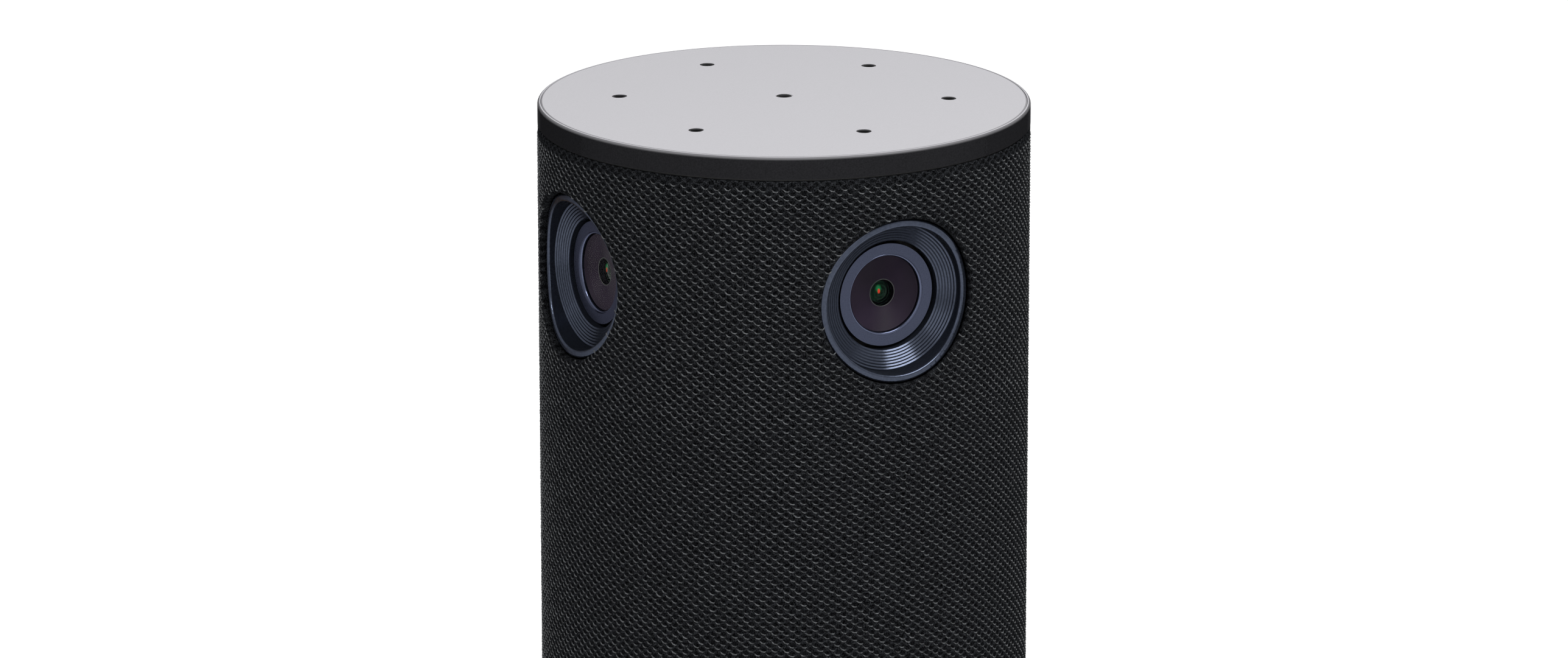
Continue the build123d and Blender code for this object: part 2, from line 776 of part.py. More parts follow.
# Loudspeaker driver, firing upwards at the diffuser: basket, magnet system and moving cone
flange_clearance = 3.0
flange_thickness = 1.8
flange_width = 6.0
basket_depth = 18.5
basket_wall = 1.2
basket_floor_radius = 19.0
basket_window_count = 4
basket_window_width = 16.0
spider_shelf_height = 4.5
spider_shelf_width = 2.4
driver_screw_setback = 1.8
voice_gap_outer = 11.4
washer_radius = 20.0
washer_thickness = 3.5
magnet_outer = 25.0
magnet_inner = 14.0
magnet_height = 10.0
yoke_radius = 22.0
yoke_thickness = 4.0
pole_radius = 9.6
flange_radius = foot_ring_inner - flange_clearance
flange_inner = flange_radius - flange_width
basket_mouth = flange_inner + basket_wall
driver_screw_circle = flange_radius - driver_screw_setback
flange_top_z = baffle_top_z + flange_thickness
basket_bottom_z = baffle_top_z - basket_depth
basket_floor_z = basket_bottom_z + basket_wall
spider_z = basket_bottom_z + spider_shelf_height
washer_bottom_z = basket_bottom_z - washer_thickness
magnet_bottom_z = washer_bottom_z - magnet_height
yoke_bottom_z = magnet_bottom_z - yoke_thickness

with BuildPart() as speaker_baffle:
    with BuildSketch(Plane.XY.offset(tub_top_z)):
        Circle(tub_radius)
        Circle(basket_mouth + nest_gap, mode=Mode.SUBTRACT)
        with PolarLocations(frame_screw_circle, 4):
            Circle(case_bore, mode=Mode.SUBTRACT)
        with PolarLocations(driver_screw_circle, 4, start_angle=diagonals):
            Circle(board_bore, mode=Mode.SUBTRACT)
    extrude(amount=baffle_thickness)
save(speaker_baffle, "speaker_baffle")

with BuildPart() as speaker_basket:
    revolve(
        ring_profile(
            (flange_radius, baffle_top_z),
            (flange_radius, flange_top_z),
            (flange_inner, flange_top_z),
            (basket_floor_radius, spider_z),
            (basket_floor_radius - spider_shelf_width, spider_z),
            (basket_floor_radius - spider_shelf_width, basket_floor_z),
            (voice_gap_outer, basket_floor_z),
            (voice_gap_outer, basket_bottom_z),
            (basket_floor_radius, basket_bottom_z),
            (basket_floor_radius + basket_wall, spider_z),
            (basket_mouth, baffle_top_z),
        ),
        axis=Axis.Z,
    )
    for step in range(basket_window_count // 2):
        window_plane = Plane(
            origin=(0, 0, spider_z + spider_shelf_height),
            x_dir=(0, 0, 1),
            z_dir=outward(step * 360 / basket_window_count),
        )
        with BuildSketch(window_plane):
            SlotOverall(basket_window_width, spider_shelf_height, rotation=90)
        extrude(amount=flange_radius, both=True, mode=Mode.SUBTRACT)
    with Locations(Plane.XY.offset(flange_top_z)):
        with PolarLocations(driver_screw_circle, 4, start_angle=diagonals):
            Hole(board_bore, flange_thickness)
save(speaker_basket, "speaker_basket")

with BuildPart() as front_washer:
    with BuildSketch(Plane.XY.offset(washer_bottom_z)):
        Circle(washer_radius)
        Circle(voice_gap_outer, mode=Mode.SUBTRACT)
    extrude(amount=washer_thickness)
save(front_washer, "front_washer")

with BuildPart() as magnet_ring:
    with BuildSketch(Plane.XY.offset(magnet_bottom_z)):
        Circle(magnet_outer)
        Circle(magnet_inner, mode=Mode.SUBTRACT)
    extrude(amount=magnet_height)
save(magnet_ring, "magnet_ring")

with BuildPart() as pole_yoke:
    revolve(
        ring_profile(
            (0, yoke_bottom_z),
            (yoke_radius, yoke_bottom_z),
            (yoke_radius, magnet_bottom_z),
            (pole_radius, magnet_bottom_z),
            (pole_radius, basket_bottom_z),
            (0, basket_bottom_z),
        ),
        axis=Axis.Z,
    )
save(pole_yoke, "pole_yoke")

# Moving cone: paper cone, dust cap, coil former and winding in one piece, with its two suspensions
cone_clearance = 3.0
paper_thickness = 0.6
former_inner = 10.1
former_wall = 0.25
winding_wall = 0.55
winding_height = 8.5
former_below = 10.5
cone_base_above = 4.0
cap_rise = 3.6
roll_inner_lip = 1.0
roll_height = 2.2
roll_wall = 0.5
surround_lip = 2.4
spider_thickness = 0.5
cone_edge = flange_inner - cone_clearance
surround_outer = flange_inner + surround_lip
former_outer = former_inner + former_wall
winding_outer = former_outer + winding_wall
former_bottom_z = basket_bottom_z - former_below
winding_bottom_z = basket_bottom_z - (washer_thickness + winding_height) / 2
cone_base_z = spider_z + cone_base_above
cone_edge_z = flange_top_z

with BuildPart() as speaker_cone:
    revolve(
        ring_profile(
            (former_inner, former_bottom_z),
            (former_outer, former_bottom_z),
            (former_outer, winding_bottom_z),
            (winding_outer, winding_bottom_z),
            (winding_outer, winding_bottom_z + winding_height),
            (former_outer, winding_bottom_z + winding_height),
            (former_outer, cone_base_z),
            (cone_edge, cone_edge_z - paper_thickness),
            (cone_edge + roll_inner_lip, cone_edge_z - paper_thickness),
            (cone_edge + roll_inner_lip, cone_edge_z),
            (cone_edge, cone_edge_z),
            (former_inner, cone_base_z + paper_thickness),
        ),
        axis=Axis.Z,
    )
    with BuildSketch(Plane.XZ):
        with BuildLine():
            cap_top_z = cone_base_z + cap_rise
            Polyline(
                (0, cap_top_z - paper_thickness), (0, cap_top_z), (former_inner / 2, cap_top_z)
            )
            Spline(
                (former_inner / 2, cap_top_z),
                (former_outer, cone_base_z + paper_thickness),
                tangents=((1, 0), (1, -1)),
            )
            Line(
                (former_outer, cone_base_z + paper_thickness),
                (former_inner - paper_thickness, cone_base_z + paper_thickness),
            )
            Line(
                (former_inner - paper_thickness, cone_base_z + paper_thickness),
                (former_inner / 2, cap_top_z - paper_thickness),
            )
            Line((former_inner / 2, cap_top_z - paper_thickness), (0, cap_top_z - paper_thickness))
        make_face()
    revolve(axis=Axis.Z)
save(speaker_cone, "speaker_cone")

with BuildPart() as speaker_surround:
    roll_start = cone_edge + roll_inner_lip
    roll_end = flange_inner + fine_gap
    roll_middle = (roll_start + roll_end) / 2
    with BuildSketch(Plane.XZ):
        with BuildLine():
            Polyline(
                (roll_start, flange_top_z + roll_wall),
                (cone_edge, flange_top_z + roll_wall),
                (cone_edge, flange_top_z),
                (roll_start + roll_wall, flange_top_z),
            )
            ThreePointArc(
                (roll_start + roll_wall, flange_top_z),
                (roll_middle, flange_top_z + roll_height - roll_wall),
                (roll_end, flange_top_z),
            )
            Polyline(
                (roll_end, flange_top_z),
                (surround_outer, flange_top_z),
                (surround_outer, flange_top_z + roll_wall),
                (roll_end + roll_wall, flange_top_z + roll_wall),
            )
            ThreePointArc(
                (roll_end + roll_wall, flange_top_z + roll_wall),
                (roll_middle, flange_top_z + roll_height),
                (roll_start, flange_top_z + roll_wall),
            )
        make_face()
    revolve(axis=Axis.Z)
save(speaker_surround, "speaker_surround")

spider_wave = 0.6
spider_waves = 4
spider_inner = former_outer
spider_outer = basket_floor_radius
spider_step = (basket_floor_radius - spider_shelf_width - spider_inner) / (2 * spider_waves + 1)
wave_radii = [spider_inner + spider_step * (index + 1) for index in range(2 * spider_waves)]
wave_heights = [spider_z + spider_wave * (index % 2) for index in range(2 * spider_waves)]
wave_tops = [height + spider_thickness for height in wave_heights]

with BuildPart() as speaker_spider:
    revolve(
        ring_profile(
            (spider_inner, spider_z),
            *zip(wave_radii, wave_heights),
            (spider_outer - spider_shelf_width, spider_z),
            (spider_outer, spider_z),
            (spider_outer, spider_z + spider_thickness),
            (spider_outer - spider_shelf_width, spider_z + spider_thickness),
            *zip(wave_radii[::-1], wave_tops[::-1]),
            (spider_inner, spider_z + spider_thickness),
        ),
        axis=Axis.Z,
    )
save(speaker_spider, "speaker_spider")

# Base housing: black band with the button row in front, the port recess behind and a deck on top
base_wall = 2.6
deck_thickness = 2.4
cover_thickness = 2.6
foot_height = 3.0
foot_recess = 0.6
band_round = 0.6
foot_setback = 2.55
foot_width = 8.5
cover_screw_margin = 4.0
button_z = 17.5
button_pitch = 12.0
button_names = ("power", "volume_down", "mute", "volume_up", "view")
button_radius = 4.0
button_gap = 0.2
button_guide_wall = 1.2
button_reach = 12.15
button_board_gap = 4.5
button_post_spread = 32.0
button_post_radius = 2.2
port_recess_depth = 2.65
port_recess_width = 28.0
port_recess_height = 12.0
port_recess_round = 3.0
port_panel_margin = 2.0
usb_spread = 8.0
usb_width = 9.0
usb_height = 3.2
usb_depth = 7.5
port_board_z = 14.0
ribbon_width = 10.0
ribbon_offset = 0.5
base_inner = band_radius - base_wall
foot_outer = base_inner - foot_setback
foot_inner = foot_outer - foot_width
cover_screw_circle = foot_inner - cover_screw_margin
cover_bottom_z = foot_height - foot_recess
cover_top_z = cover_bottom_z + cover_thickness
deck_bottom_z = band_top_z - deck_thickness
button_row_width = button_pitch * (len(button_names) - 1)
button_bore = button_radius + button_gap
guide_radius = button_bore + button_guide_wall
button_guide_face = band_radius - button_reach
button_board_face = button_guide_face - button_board_gap
port_face = band_radius - port_recess_depth
port_panel_back = port_face - base_wall
port_top_z = port_board_z + board_thickness
usb_z = port_top_z + usb_height / 2
ribbon_face = tub_radius + ribbon_offset
front_guides = Plane(origin=(0, -button_guide_face, button_z), x_dir=(1, 0, 0), z_dir=(0, -1, 0))
front_board = Plane(origin=(0, -button_board_face, button_z), x_dir=(1, 0, 0), z_dir=(0, -1, 0))
rear_panel = Plane(origin=(0, port_panel_back, usb_z), x_dir=(-1, 0, 0), z_dir=(0, 1, 0))

with BuildPart() as base_housing:
    revolve(
        ring_profile(
            (base_inner, floor_gap),
            (band_radius, floor_gap),
            (band_radius, band_top_z),
            (collar_outer, band_top_z),
            (collar_outer, band_top_z + collar_height),
            (collar_inner, band_top_z + collar_height),
            (collar_inner, band_top_z),
            (0, band_top_z),
            (0, deck_bottom_z),
            (base_inner, deck_bottom_z),
        ),
        axis=Axis.Z,
    )
    with BuildSketch(front_guides):
        with GridLocations(button_pitch, 0, len(button_names), 1):
            Circle(guide_radius)
    extrude(amount=band_radius - button_guide_face)
    with BuildSketch(front_board):
        with GridLocations(2 * button_post_spread, 0, 2, 1):
            Circle(button_post_radius)
    extrude(amount=band_radius - button_board_face)
    with BuildSketch(rear_panel):
        RectangleRounded(
            port_recess_width + 2 * port_panel_margin,
            port_recess_height + 2 * port_panel_margin,
            port_recess_round,
        )
    extrude(amount=band_radius - port_panel_back)
    with BuildSketch(Plane.XY.offset(floor_gap)):
        Circle(band_radius)
    extrude(amount=base_band_height + collar_height, mode=Mode.INTERSECT)
    outer_rims = base_housing.edges().filter_by(GeomType.CIRCLE).group_by(SortBy.LENGTH)[-1]
    fillet(outer_rims.sort_by(Axis.Z)[0], band_round)
    with BuildSketch(Plane.XY.offset(cover_top_z)):
        with PolarLocations(cover_screw_circle, 4, start_angle=diagonals):
            Circle(boss_radius)
    extrude(amount=deck_bottom_z - cover_top_z)
    with BuildSketch(front_guides):
        with GridLocations(button_pitch, 0, len(button_names), 1):
            Circle(button_bore)
    extrude(amount=body_radius - button_guide_face, mode=Mode.SUBTRACT)
    with BuildSketch(rear_panel.offset(base_wall)):
        RectangleRounded(port_recess_width, port_recess_height, port_recess_round)
    extrude(amount=body_radius - port_face, mode=Mode.SUBTRACT)
    with BuildSketch(rear_panel):
        with GridLocations(2 * usb_spread, 0, 2, 1):
            SlotOverall(usb_width + 2 * fine_gap, usb_height + 2 * fine_gap)
    extrude(amount=base_wall + overrun, mode=Mode.SUBTRACT)
    with BuildSketch(Plane.XY.offset(cover_top_z)):
        with PolarLocations(cover_screw_circle, 4, start_angle=diagonals):
            Circle(case_bore)
    extrude(amount=case_screw_length, mode=Mode.SUBTRACT)
    with BuildSketch(front_board):
        with GridLocations(2 * button_post_spread, 0, 2, 1):
            Circle(board_bore)
    extrude(amount=board_screw_length - board_thickness + fine_gap, mode=Mode.SUBTRACT)
    with BuildSketch(Plane.XY.offset(deck_bottom_z)):
        with PolarLocations(floor_screw_circle, 4):
            Circle(case_bore)
        with Locations((0, ribbon_face + ribbon_thickness / 2)):
            Rectangle(ribbon_width + 2 * fine_gap, ribbon_thickness + 2 * fine_gap)
    extrude(amount=deck_thickness, mode=Mode.SUBTRACT)
save(base_housing, "base_housing")

# Control buttons in the front of the band: caps flush with the curve, held back by a flange
button_proud = 0.3
button_flange_radius = 5.0
button_flange_thickness = 1.0
button_edge_round = 0.4
flange_face = button_guide_face - fine_gap

for index, key in enumerate(button_names):
    button_x = index * button_pitch - button_row_width / 2
    button_plane = Plane(origin=(button_x, -flange_face, button_z), x_dir=(1, 0, 0), z_dir=(0, -1, 0))
    with BuildPart() as button:
        with BuildSketch(button_plane):
            Circle(button_radius)
        extrude(amount=body_radius + overrun - flange_face)
        with BuildSketch(Plane.XY.offset(button_z - button_radius)):
            Circle(band_radius + button_proud)
        extrude(amount=2 * button_radius, mode=Mode.INTERSECT)
        cap_edges = button.edges().filter_by(
            lambda edge: edge.geom_type not in (GeomType.CIRCLE, GeomType.LINE)
        )
        fillet(cap_edges, button_edge_round)
        with BuildSketch(button_plane):
            Circle(button_flange_radius)
        extrude(amount=-button_flange_thickness)
    save(button, f"{key}_button")

# Keypad mat and button board behind the buttons
mat_thickness = 1.0
mat_margin = 4.4
mat_height = 14.0
dome_radius_large = 3.8
dome_radius_small = 2.4
button_board_margin = 2.4
button_board_drop = 8.0
mat_face = button_board_face + mat_thickness
dome_face = flange_face - button_flange_thickness - fine_gap
board_half_width = button_post_spread + button_board_margin
button_board_bottom_z = button_z - button_board_drop
front_mat = Plane(origin=(0, -mat_face, button_z), x_dir=(1, 0, 0), z_dir=(0, -1, 0))

with BuildPart() as keypad_mat:
    with BuildSketch(front_mat):
        Rectangle(button_row_width + 2 * mat_margin, mat_height)
    extrude(amount=-mat_thickness)
    with BuildSketch(front_mat):
        with GridLocations(button_pitch, 0, len(button_names), 1):
            Circle(dome_radius_large)
    with BuildSketch(front_mat.offset(dome_face - mat_face)):
        with GridLocations(button_pitch, 0, len(button_names), 1):
            Circle(dome_radius_small)
    lower_faces = keypad_mat.pending_faces[: len(button_names)]
    upper_faces = keypad_mat.pending_faces[len(button_names) :]
    keypad_mat.pending_faces = []
    for lower, upper in zip(lower_faces, upper_faces):
        loft(sections=[lower, upper])
save(keypad_mat, "keypad_mat")

with BuildPart() as button_board:
    with BuildSketch(front_board):
        with Locations((0, (button_board_bottom_z + deck_bottom_z) / 2 - button_z)):
            Rectangle(2 * board_half_width, deck_bottom_z - button_board_bottom_z)
    extrude(amount=-board_thickness)
    with BuildSketch(front_board.offset(-board_thickness)):
        with GridLocations(2 * button_post_spread, 0, 2, 1):
            Circle(board_bore)
    extrude(amount=board_thickness, mode=Mode.SUBTRACT)
save(button_board, "button_board")

# Port board with two flush sockets in the rear recess
port_board_half = 19.0
port_board_depth = 12.0
port_board_setback = 4.5
port_post_x = 15.5
port_post_inset = 3.0
port_post_radius = 2.6
port_plug_inset = 0.5
port_plug_depth = 4.0
port_plug_height = 4.3
tongue_width = 6.7
tongue_thickness = 0.7
usb_wall = 0.35
port_board_rear = port_face - port_board_setback
port_board_front = port_board_rear - port_board_depth
port_post_y = port_board_front + port_post_inset
port_plug_front = port_board_front + port_plug_inset
port_plug_top_z = port_top_z + port_plug_height

with BuildPart() as port_board:
    with BuildSketch(Plane.XY.offset(port_board_z)):
        with Locations((0, (port_board_front + port_board_rear) / 2)):
            Rectangle(2 * port_board_half, port_board_rear - port_board_front)
    extrude(amount=board_thickness)
    with BuildSketch(Plane.XY.offset(port_top_z)):
        with Locations((0, port_plug_front + port_plug_depth / 2)):
            Rectangle(ribbon_width, port_plug_depth)
    extrude(amount=port_plug_height)
    with Locations(Plane.XY.offset(port_top_z)):
        with Locations((-port_post_x, port_post_y), (port_post_x, port_post_y)):
            Hole(board_bore, board_thickness)
save(port_board, "port_board")

usb_face = rear_panel.offset(base_wall)
with BuildPart() as usb_sockets:
    with BuildSketch(usb_face):
        with GridLocations(2 * usb_spread, 0, 2, 1):
            SlotOverall(usb_width, usb_height)
    extrude(amount=-usb_depth)
    with BuildSketch(usb_face):
        with GridLocations(2 * usb_spread, 0, 2, 1):
            SlotOverall(usb_width - 2 * usb_wall, usb_height - 2 * usb_wall)
    extrude(amount=-(usb_depth - overrun), mode=Mode.SUBTRACT)
    with BuildSketch(usb_face.offset(-usb_depth + overrun / 2)):
        with GridLocations(2 * usb_spread, 0, 2, 1):
            Rectangle(tongue_width, tongue_thickness)
    extrude(amount=usb_depth - overrun)
save(usb_sockets, "usb_sockets")

# Base cover, foot ring, ballast and tripod insert under the base
insert_radius = 5.0
insert_length = 9.0
insert_thread_radius = 2.6
insert_groove = 0.4
insert_groove_width = 2.0
cover_boss_wall = 2.5
cover_boss_cap = 1.6
foot_round = 0.8
ballast_margin = 1.6
ballast_thickness = 7.0
ballast_radius = cover_screw_circle - boss_radius - ballast_margin
insert_bottom_z = cover_bottom_z
insert_top_z = insert_bottom_z + insert_length
cover_boss_radius = insert_radius + cover_boss_wall
insert_bore = insert_radius + fine_gap

with BuildPart() as base_cover:
    revolve(
        ring_profile(
            (insert_bore, cover_bottom_z),
            (foot_inner - nest_gap, cover_bottom_z),
            (foot_inner - nest_gap, foot_height),
            (foot_outer + nest_gap, foot_height),
            (foot_outer + nest_gap, cover_bottom_z),
            (base_inner - nest_gap, cover_bottom_z),
            (base_inner - nest_gap, cover_top_z),
            (cover_boss_radius, cover_top_z),
            (cover_boss_radius, insert_top_z + cover_boss_cap),
            (0, insert_top_z + cover_boss_cap),
            (0, insert_top_z),
            (insert_bore, insert_top_z),
        ),
        axis=Axis.Z,
    )
    with BuildSketch(Plane.XY.offset(cover_top_z)):
        with Locations((-port_post_x, port_post_y), (port_post_x, port_post_y)):
            Circle(port_post_radius)
    extrude(amount=port_board_z - cover_top_z)
    with Locations(Plane.XY.offset(port_board_z)):
        with Locations((-port_post_x, port_post_y), (port_post_x, port_post_y)):
            Hole(board_bore, board_screw_length)
    with BuildSketch(Plane.XY.offset(cover_bottom_z)):
        with PolarLocations(cover_screw_circle, 4, start_angle=diagonals):
            Circle(case_bore)
    extrude(amount=cover_thickness, mode=Mode.SUBTRACT)
    with BuildSketch(Plane.XY.offset(cover_bottom_z)):
        with PolarLocations(cover_screw_circle, 4, start_angle=diagonals):
            Circle(case_head_radius + nest_gap)
    extrude(amount=case_head_height, mode=Mode.SUBTRACT)
save(base_cover, "base_cover")

with BuildPart() as foot_ring:
    revolve(
        ring_profile(
            (foot_inner, 0),
            (foot_outer, 0),
            (foot_outer, foot_height),
            (foot_inner, foot_height),
        ),
        axis=Axis.Z,
    )
    fillet(foot_ring.edges().filter_by(GeomType.CIRCLE).group_by(Axis.Z)[0], foot_round)
save(foot_ring, "foot_ring")

with BuildPart() as ballast_plate:
    with BuildSketch(Plane.XY.offset(cover_top_z)):
        Circle(ballast_radius)
        Circle(cover_boss_radius + nest_gap, mode=Mode.SUBTRACT)
    extrude(amount=ballast_thickness)
save(ballast_plate, "ballast_plate")

with BuildPart() as tripod_insert:
    groove_low_z = insert_bottom_z + (insert_length - insert_groove_width) / 2
    revolve(
        ring_profile(
            (insert_thread_radius, insert_bottom_z),
            (insert_radius, insert_bottom_z),
            (insert_radius, groove_low_z),
            (insert_radius - insert_groove, groove_low_z),
            (insert_radius - insert_groove, groove_low_z + insert_groove_width),
            (insert_radius, groove_low_z + insert_groove_width),
            (insert_radius, insert_top_z),
            (insert_thread_radius, insert_top_z),
        ),
        axis=Axis.Z,
    )
save(tripod_insert, "tripod_insert")

# Ribbon cables: four short ones from the sensor boards, one from the microphones, one to the base
sensor_ribbon_width = 8.0
mic_ribbon_width = 6.0
ribbon_bend = 3.0
ribbon_landing = 4.0
sensor_ribbon_top = sensor_plug_height / 2 - sensor_plug_drop
sensor_ribbon_drop = lens_z + sensor_ribbon_top - socket_top_z
base_socket_end = base_socket_face - ribbon_landing

with BuildPart() as sensor_ribbons:
    for angle in lens_sides.values():
        with BuildSketch(facing_plane(angle, sensor_rear - sensor_plug_depth)):
            with Locations((0, sensor_ribbon_top - sensor_ribbon_drop / 2)):
                Rectangle(sensor_ribbon_width, sensor_ribbon_drop)
        extrude(amount=-ribbon_thickness)
save(sensor_ribbons, "sensor_ribbons")

with BuildPart() as mic_ribbon:
    with BuildSketch(Plane.XY.offset(socket_top_z)):
        with PolarLocations(mic_ribbon_circle, 1, start_angle=diagonals):
            Rectangle(ribbon_thickness, mic_ribbon_width)
    extrude(amount=mic_plug_bottom_z - socket_top_z)
save(mic_ribbon, "mic_ribbon")

with BuildPart() as base_ribbon:
    with BuildSketch(Plane.YZ.offset(-ribbon_width / 2)):
        with BuildLine():
            FilletPolyline(
                (port_plug_front, port_plug_top_z + ribbon_thickness / 2),
                (ribbon_face + ribbon_thickness / 2, port_plug_top_z + ribbon_thickness / 2),
                (ribbon_face + ribbon_thickness / 2, socket_top_z + ribbon_thickness / 2),
                (base_socket_end, socket_top_z + ribbon_thickness / 2),
                radius=ribbon_bend,
            )
            offset(amount=ribbon_thickness / 2, kind=Kind.TANGENT)
        make_face()
    extrude(amount=ribbon_width)
save(base_ribbon, "base_ribbon")

# Screws: each size is one node of separate, identical screws
case_screw = (
    case_screw_radius,
    case_screw_length,
    case_head_radius,
    case_head_height,
    case_head_height * socket_share,
)
board_screw = (board_screw_radius, board_screw_length, board_head_radius, board_head_height)
tie_screw_length = tie_seat_z - carrier_bottom_z + tie_grip
tie_screw = (tie_screw_radius, tie_screw_length, tie_head_radius, tie_head_height)


def seats(circle, start_angle, height, z_dir=(0, 0, 1)):
    """Four seat planes on a circle about Z, at a height, facing along z_dir."""
    places = PolarLocations(circle, 4, start_angle=start_angle).locations
    return [Plane(origin=place.position + Vector(0, 0, height), z_dir=z_dir) for place in places]


with BuildPart() as case_screws:
    for seat in (
        *seats(cover_screw_circle, diagonals, cover_bottom_z + case_head_height, (0, 0, -1)),
        *seats(floor_screw_circle, 0, deck_bottom_z, (0, 0, -1)),
        *seats(frame_screw_circle, 0, foot_ring_top_z),
    ):
        add_screw(seat, *case_screw)
save(case_screws, "case_screws")

with BuildPart() as tie_screws:
    for seat in seats(pillar_circle, diagonals, tie_seat_z):
        add_screw(seat, *tie_screw)
save(tie_screws, "tie_screws")

with BuildPart() as board_screws:
    board_seats = [
        *seats(standoff_circle, standoff_start, main_board_top_z),
        *seats(driver_screw_circle, diagonals, flange_top_z),
    ]
    for across in (-port_post_x, port_post_x):
        board_seats.append(Plane(origin=(across, port_post_y, port_top_z), z_dir=(0, 0, 1)))
    for across in (-button_post_spread, button_post_spread):
        rear_face = board_thickness - button_board_face
        board_seats.append(Plane(origin=(across, rear_face, button_z), z_dir=(0, 1, 0)))
    for angle in lens_sides.values():
        rear_plane = facing_plane(angle, sensor_rear)
        for across, up in screw_corners:
            corner = rear_plane.from_local_coords(
                Vector(across * sensor_post_spacing / 2, up * sensor_post_spacing / 2, 0)
            )
            board_seats.append(Plane(origin=corner, z_dir=-outward(angle)))
    for seat in board_seats:
        add_screw(seat, *board_screw)
save(board_screws, "board_screws")
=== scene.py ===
"""Panoramic conference camera: finishes, woven sleeve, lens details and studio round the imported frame."""

import json
import math

import bmesh
import bpy
from mathutils import Matrix, Vector


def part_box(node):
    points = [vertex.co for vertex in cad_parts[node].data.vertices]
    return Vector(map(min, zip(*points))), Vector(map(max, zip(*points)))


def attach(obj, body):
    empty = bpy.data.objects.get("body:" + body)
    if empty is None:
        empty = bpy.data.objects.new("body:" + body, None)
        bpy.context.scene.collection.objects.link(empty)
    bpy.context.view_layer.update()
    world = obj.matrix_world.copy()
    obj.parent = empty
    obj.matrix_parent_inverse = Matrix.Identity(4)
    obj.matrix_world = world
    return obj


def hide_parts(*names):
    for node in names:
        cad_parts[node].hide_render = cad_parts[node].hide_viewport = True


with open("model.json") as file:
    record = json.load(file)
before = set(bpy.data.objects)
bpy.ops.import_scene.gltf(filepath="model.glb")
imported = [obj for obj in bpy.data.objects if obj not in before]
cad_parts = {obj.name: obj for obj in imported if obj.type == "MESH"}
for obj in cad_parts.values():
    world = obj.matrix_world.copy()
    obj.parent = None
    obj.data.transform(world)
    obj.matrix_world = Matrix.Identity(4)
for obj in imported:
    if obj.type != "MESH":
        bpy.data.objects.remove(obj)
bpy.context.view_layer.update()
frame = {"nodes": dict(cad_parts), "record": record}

bl_info = {
    "name": "Panoramic conference camera",
    "version": (1, 0, 0),
    "blender": (4, 5, 0),
    "location": "3D View > Sidebar > Tower",
    "description": "Aluminium disc, woven sleeve, stepped lens surrounds and base of a round camera tower",
    "category": "Object",
}

MM = 0.001
SIDES = {"front": -math.pi / 2, "left": math.pi, "back": math.pi / 2, "right": 0.0}
BUTTONS = ("power", "volume_down", "mute", "volume_up", "view")

SLEEVE_LOW, SLEEVE_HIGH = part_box("fabric_sleeve")
GLASS_LOW, GLASS_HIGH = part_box("cover_glass_front")
BEZEL_LOW, BEZEL_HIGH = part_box("lens_bezel_front")
LENS_HEIGHT = (GLASS_LOW.z + GLASS_HIGH.z) / 2
GLASS_RADIUS = (GLASS_HIGH.z - GLASS_LOW.z) / 2
GLASS_FACE, GLASS_BACK = -GLASS_LOW.y, -GLASS_HIGH.y
BEZEL_RADIUS = (BEZEL_HIGH.z - BEZEL_LOW.z) / 2
RING_FACE = -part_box("lens_barrel_front")[0].y
# Radius of the opening in the flat ring round each cover glass
RING_INNER = 8.9 * MM
# Radius of the sphere that the front elements' domes are cut from
DOME_RADIUS = 7.07 * MM
# Inner and outer radius of the liners in the microphone holes, black as painted shade
LINER_INNER, LINER_OUTER = 1.25 * MM, 1.63 * MM
# How far a print and a thin skin stand off the CAD surface that they lie on
PRINT_GAP, SKIN_GAP = 0.03 * MM, 0.02 * MM
# Most of a noise texture's values lie between these two
NOISE_LOW, NOISE_HIGH = 0.32, 0.68


def linear(code):
    """Linear colour and alpha of an sRGB hex value such as #c9c9cd."""
    channels = [int(code[start : start + 2], 16) / 255 for start in (1, 3, 5)]
    bent = [c / 12.92 if c <= 0.04045 else ((c + 0.055) / 1.055) ** 2.4 for c in channels]
    return (*bent, 1.0)


def length(name, description, default):
    """A size in metres that a user may change."""
    return bpy.props.FloatProperty(name=name, description=description, default=default, unit="LENGTH")


def swatch(name, description, code):
    """A colour that a user may change."""
    return bpy.props.FloatVectorProperty(
        name=name, description=description, subtype="COLOR", size=4, default=linear(code)
    )


class TowerSizes(bpy.types.PropertyGroup):
    """Sizes of what is dressed here; the pieces themselves keep the frame's sizes."""

    cloth_radius: length("Cloth radius", "Outer radius of the woven ground", SLEEVE_HIGH.x - 0.38 * MM)
    cloth_thickness: length("Cloth thickness", "Thickness of the woven ground", 0.3 * MM)
    weave_columns: bpy.props.IntProperty(
        name="Weave columns",
        description="Yarn loops round the tower in one row, a multiple of four",
        default=136,
    )
    weave_pitch: length("Weave pitch", "Height from one row of yarn loops to the next", 0.94 * MM)
    yarn_radius: length("Yarn radius", "Radius of one yarn loop", 0.15 * MM)
    microphone_circle: length(
        "Microphone circle", "Radius of the circle that the six outer microphone holes stand on", 35.8 * MM
    )
    microphone_mesh: length(
        "Microphone mesh", "Radius of the mesh disc at the bottom of each microphone hole", 1.15 * MM
    )
    surround_wall: length("Surround wall", "Wall of the lens surround round its stepped cone", 1.65 * MM)
    cone_inner: length("Cone inner radius", "Radius of the opening in the stepped cone", 12.0 * MM)
    cone_steps: bpy.props.IntProperty(
        name="Cone steps", description="Steps of the lens surround's cone", default=7
    )
    pupil_radius: length(
        "Pupil radius", "Radius of the opening in the printed mask behind each cover glass", 2.9 * MM
    )
    camera_distance: length("Camera distance", "From the camera to the point it looks at", 1.5565)
    camera_aim: length("Camera aim", "Height on the tower's axis that the camera looks at", 0.2224)
    focal_length: bpy.props.FloatProperty(
        name="Focal length", description="Focal length of the camera, in millimetres", default=162.88
    )
    floor_reach: length("Floor reach", "Half the width of the floor", 9.0)


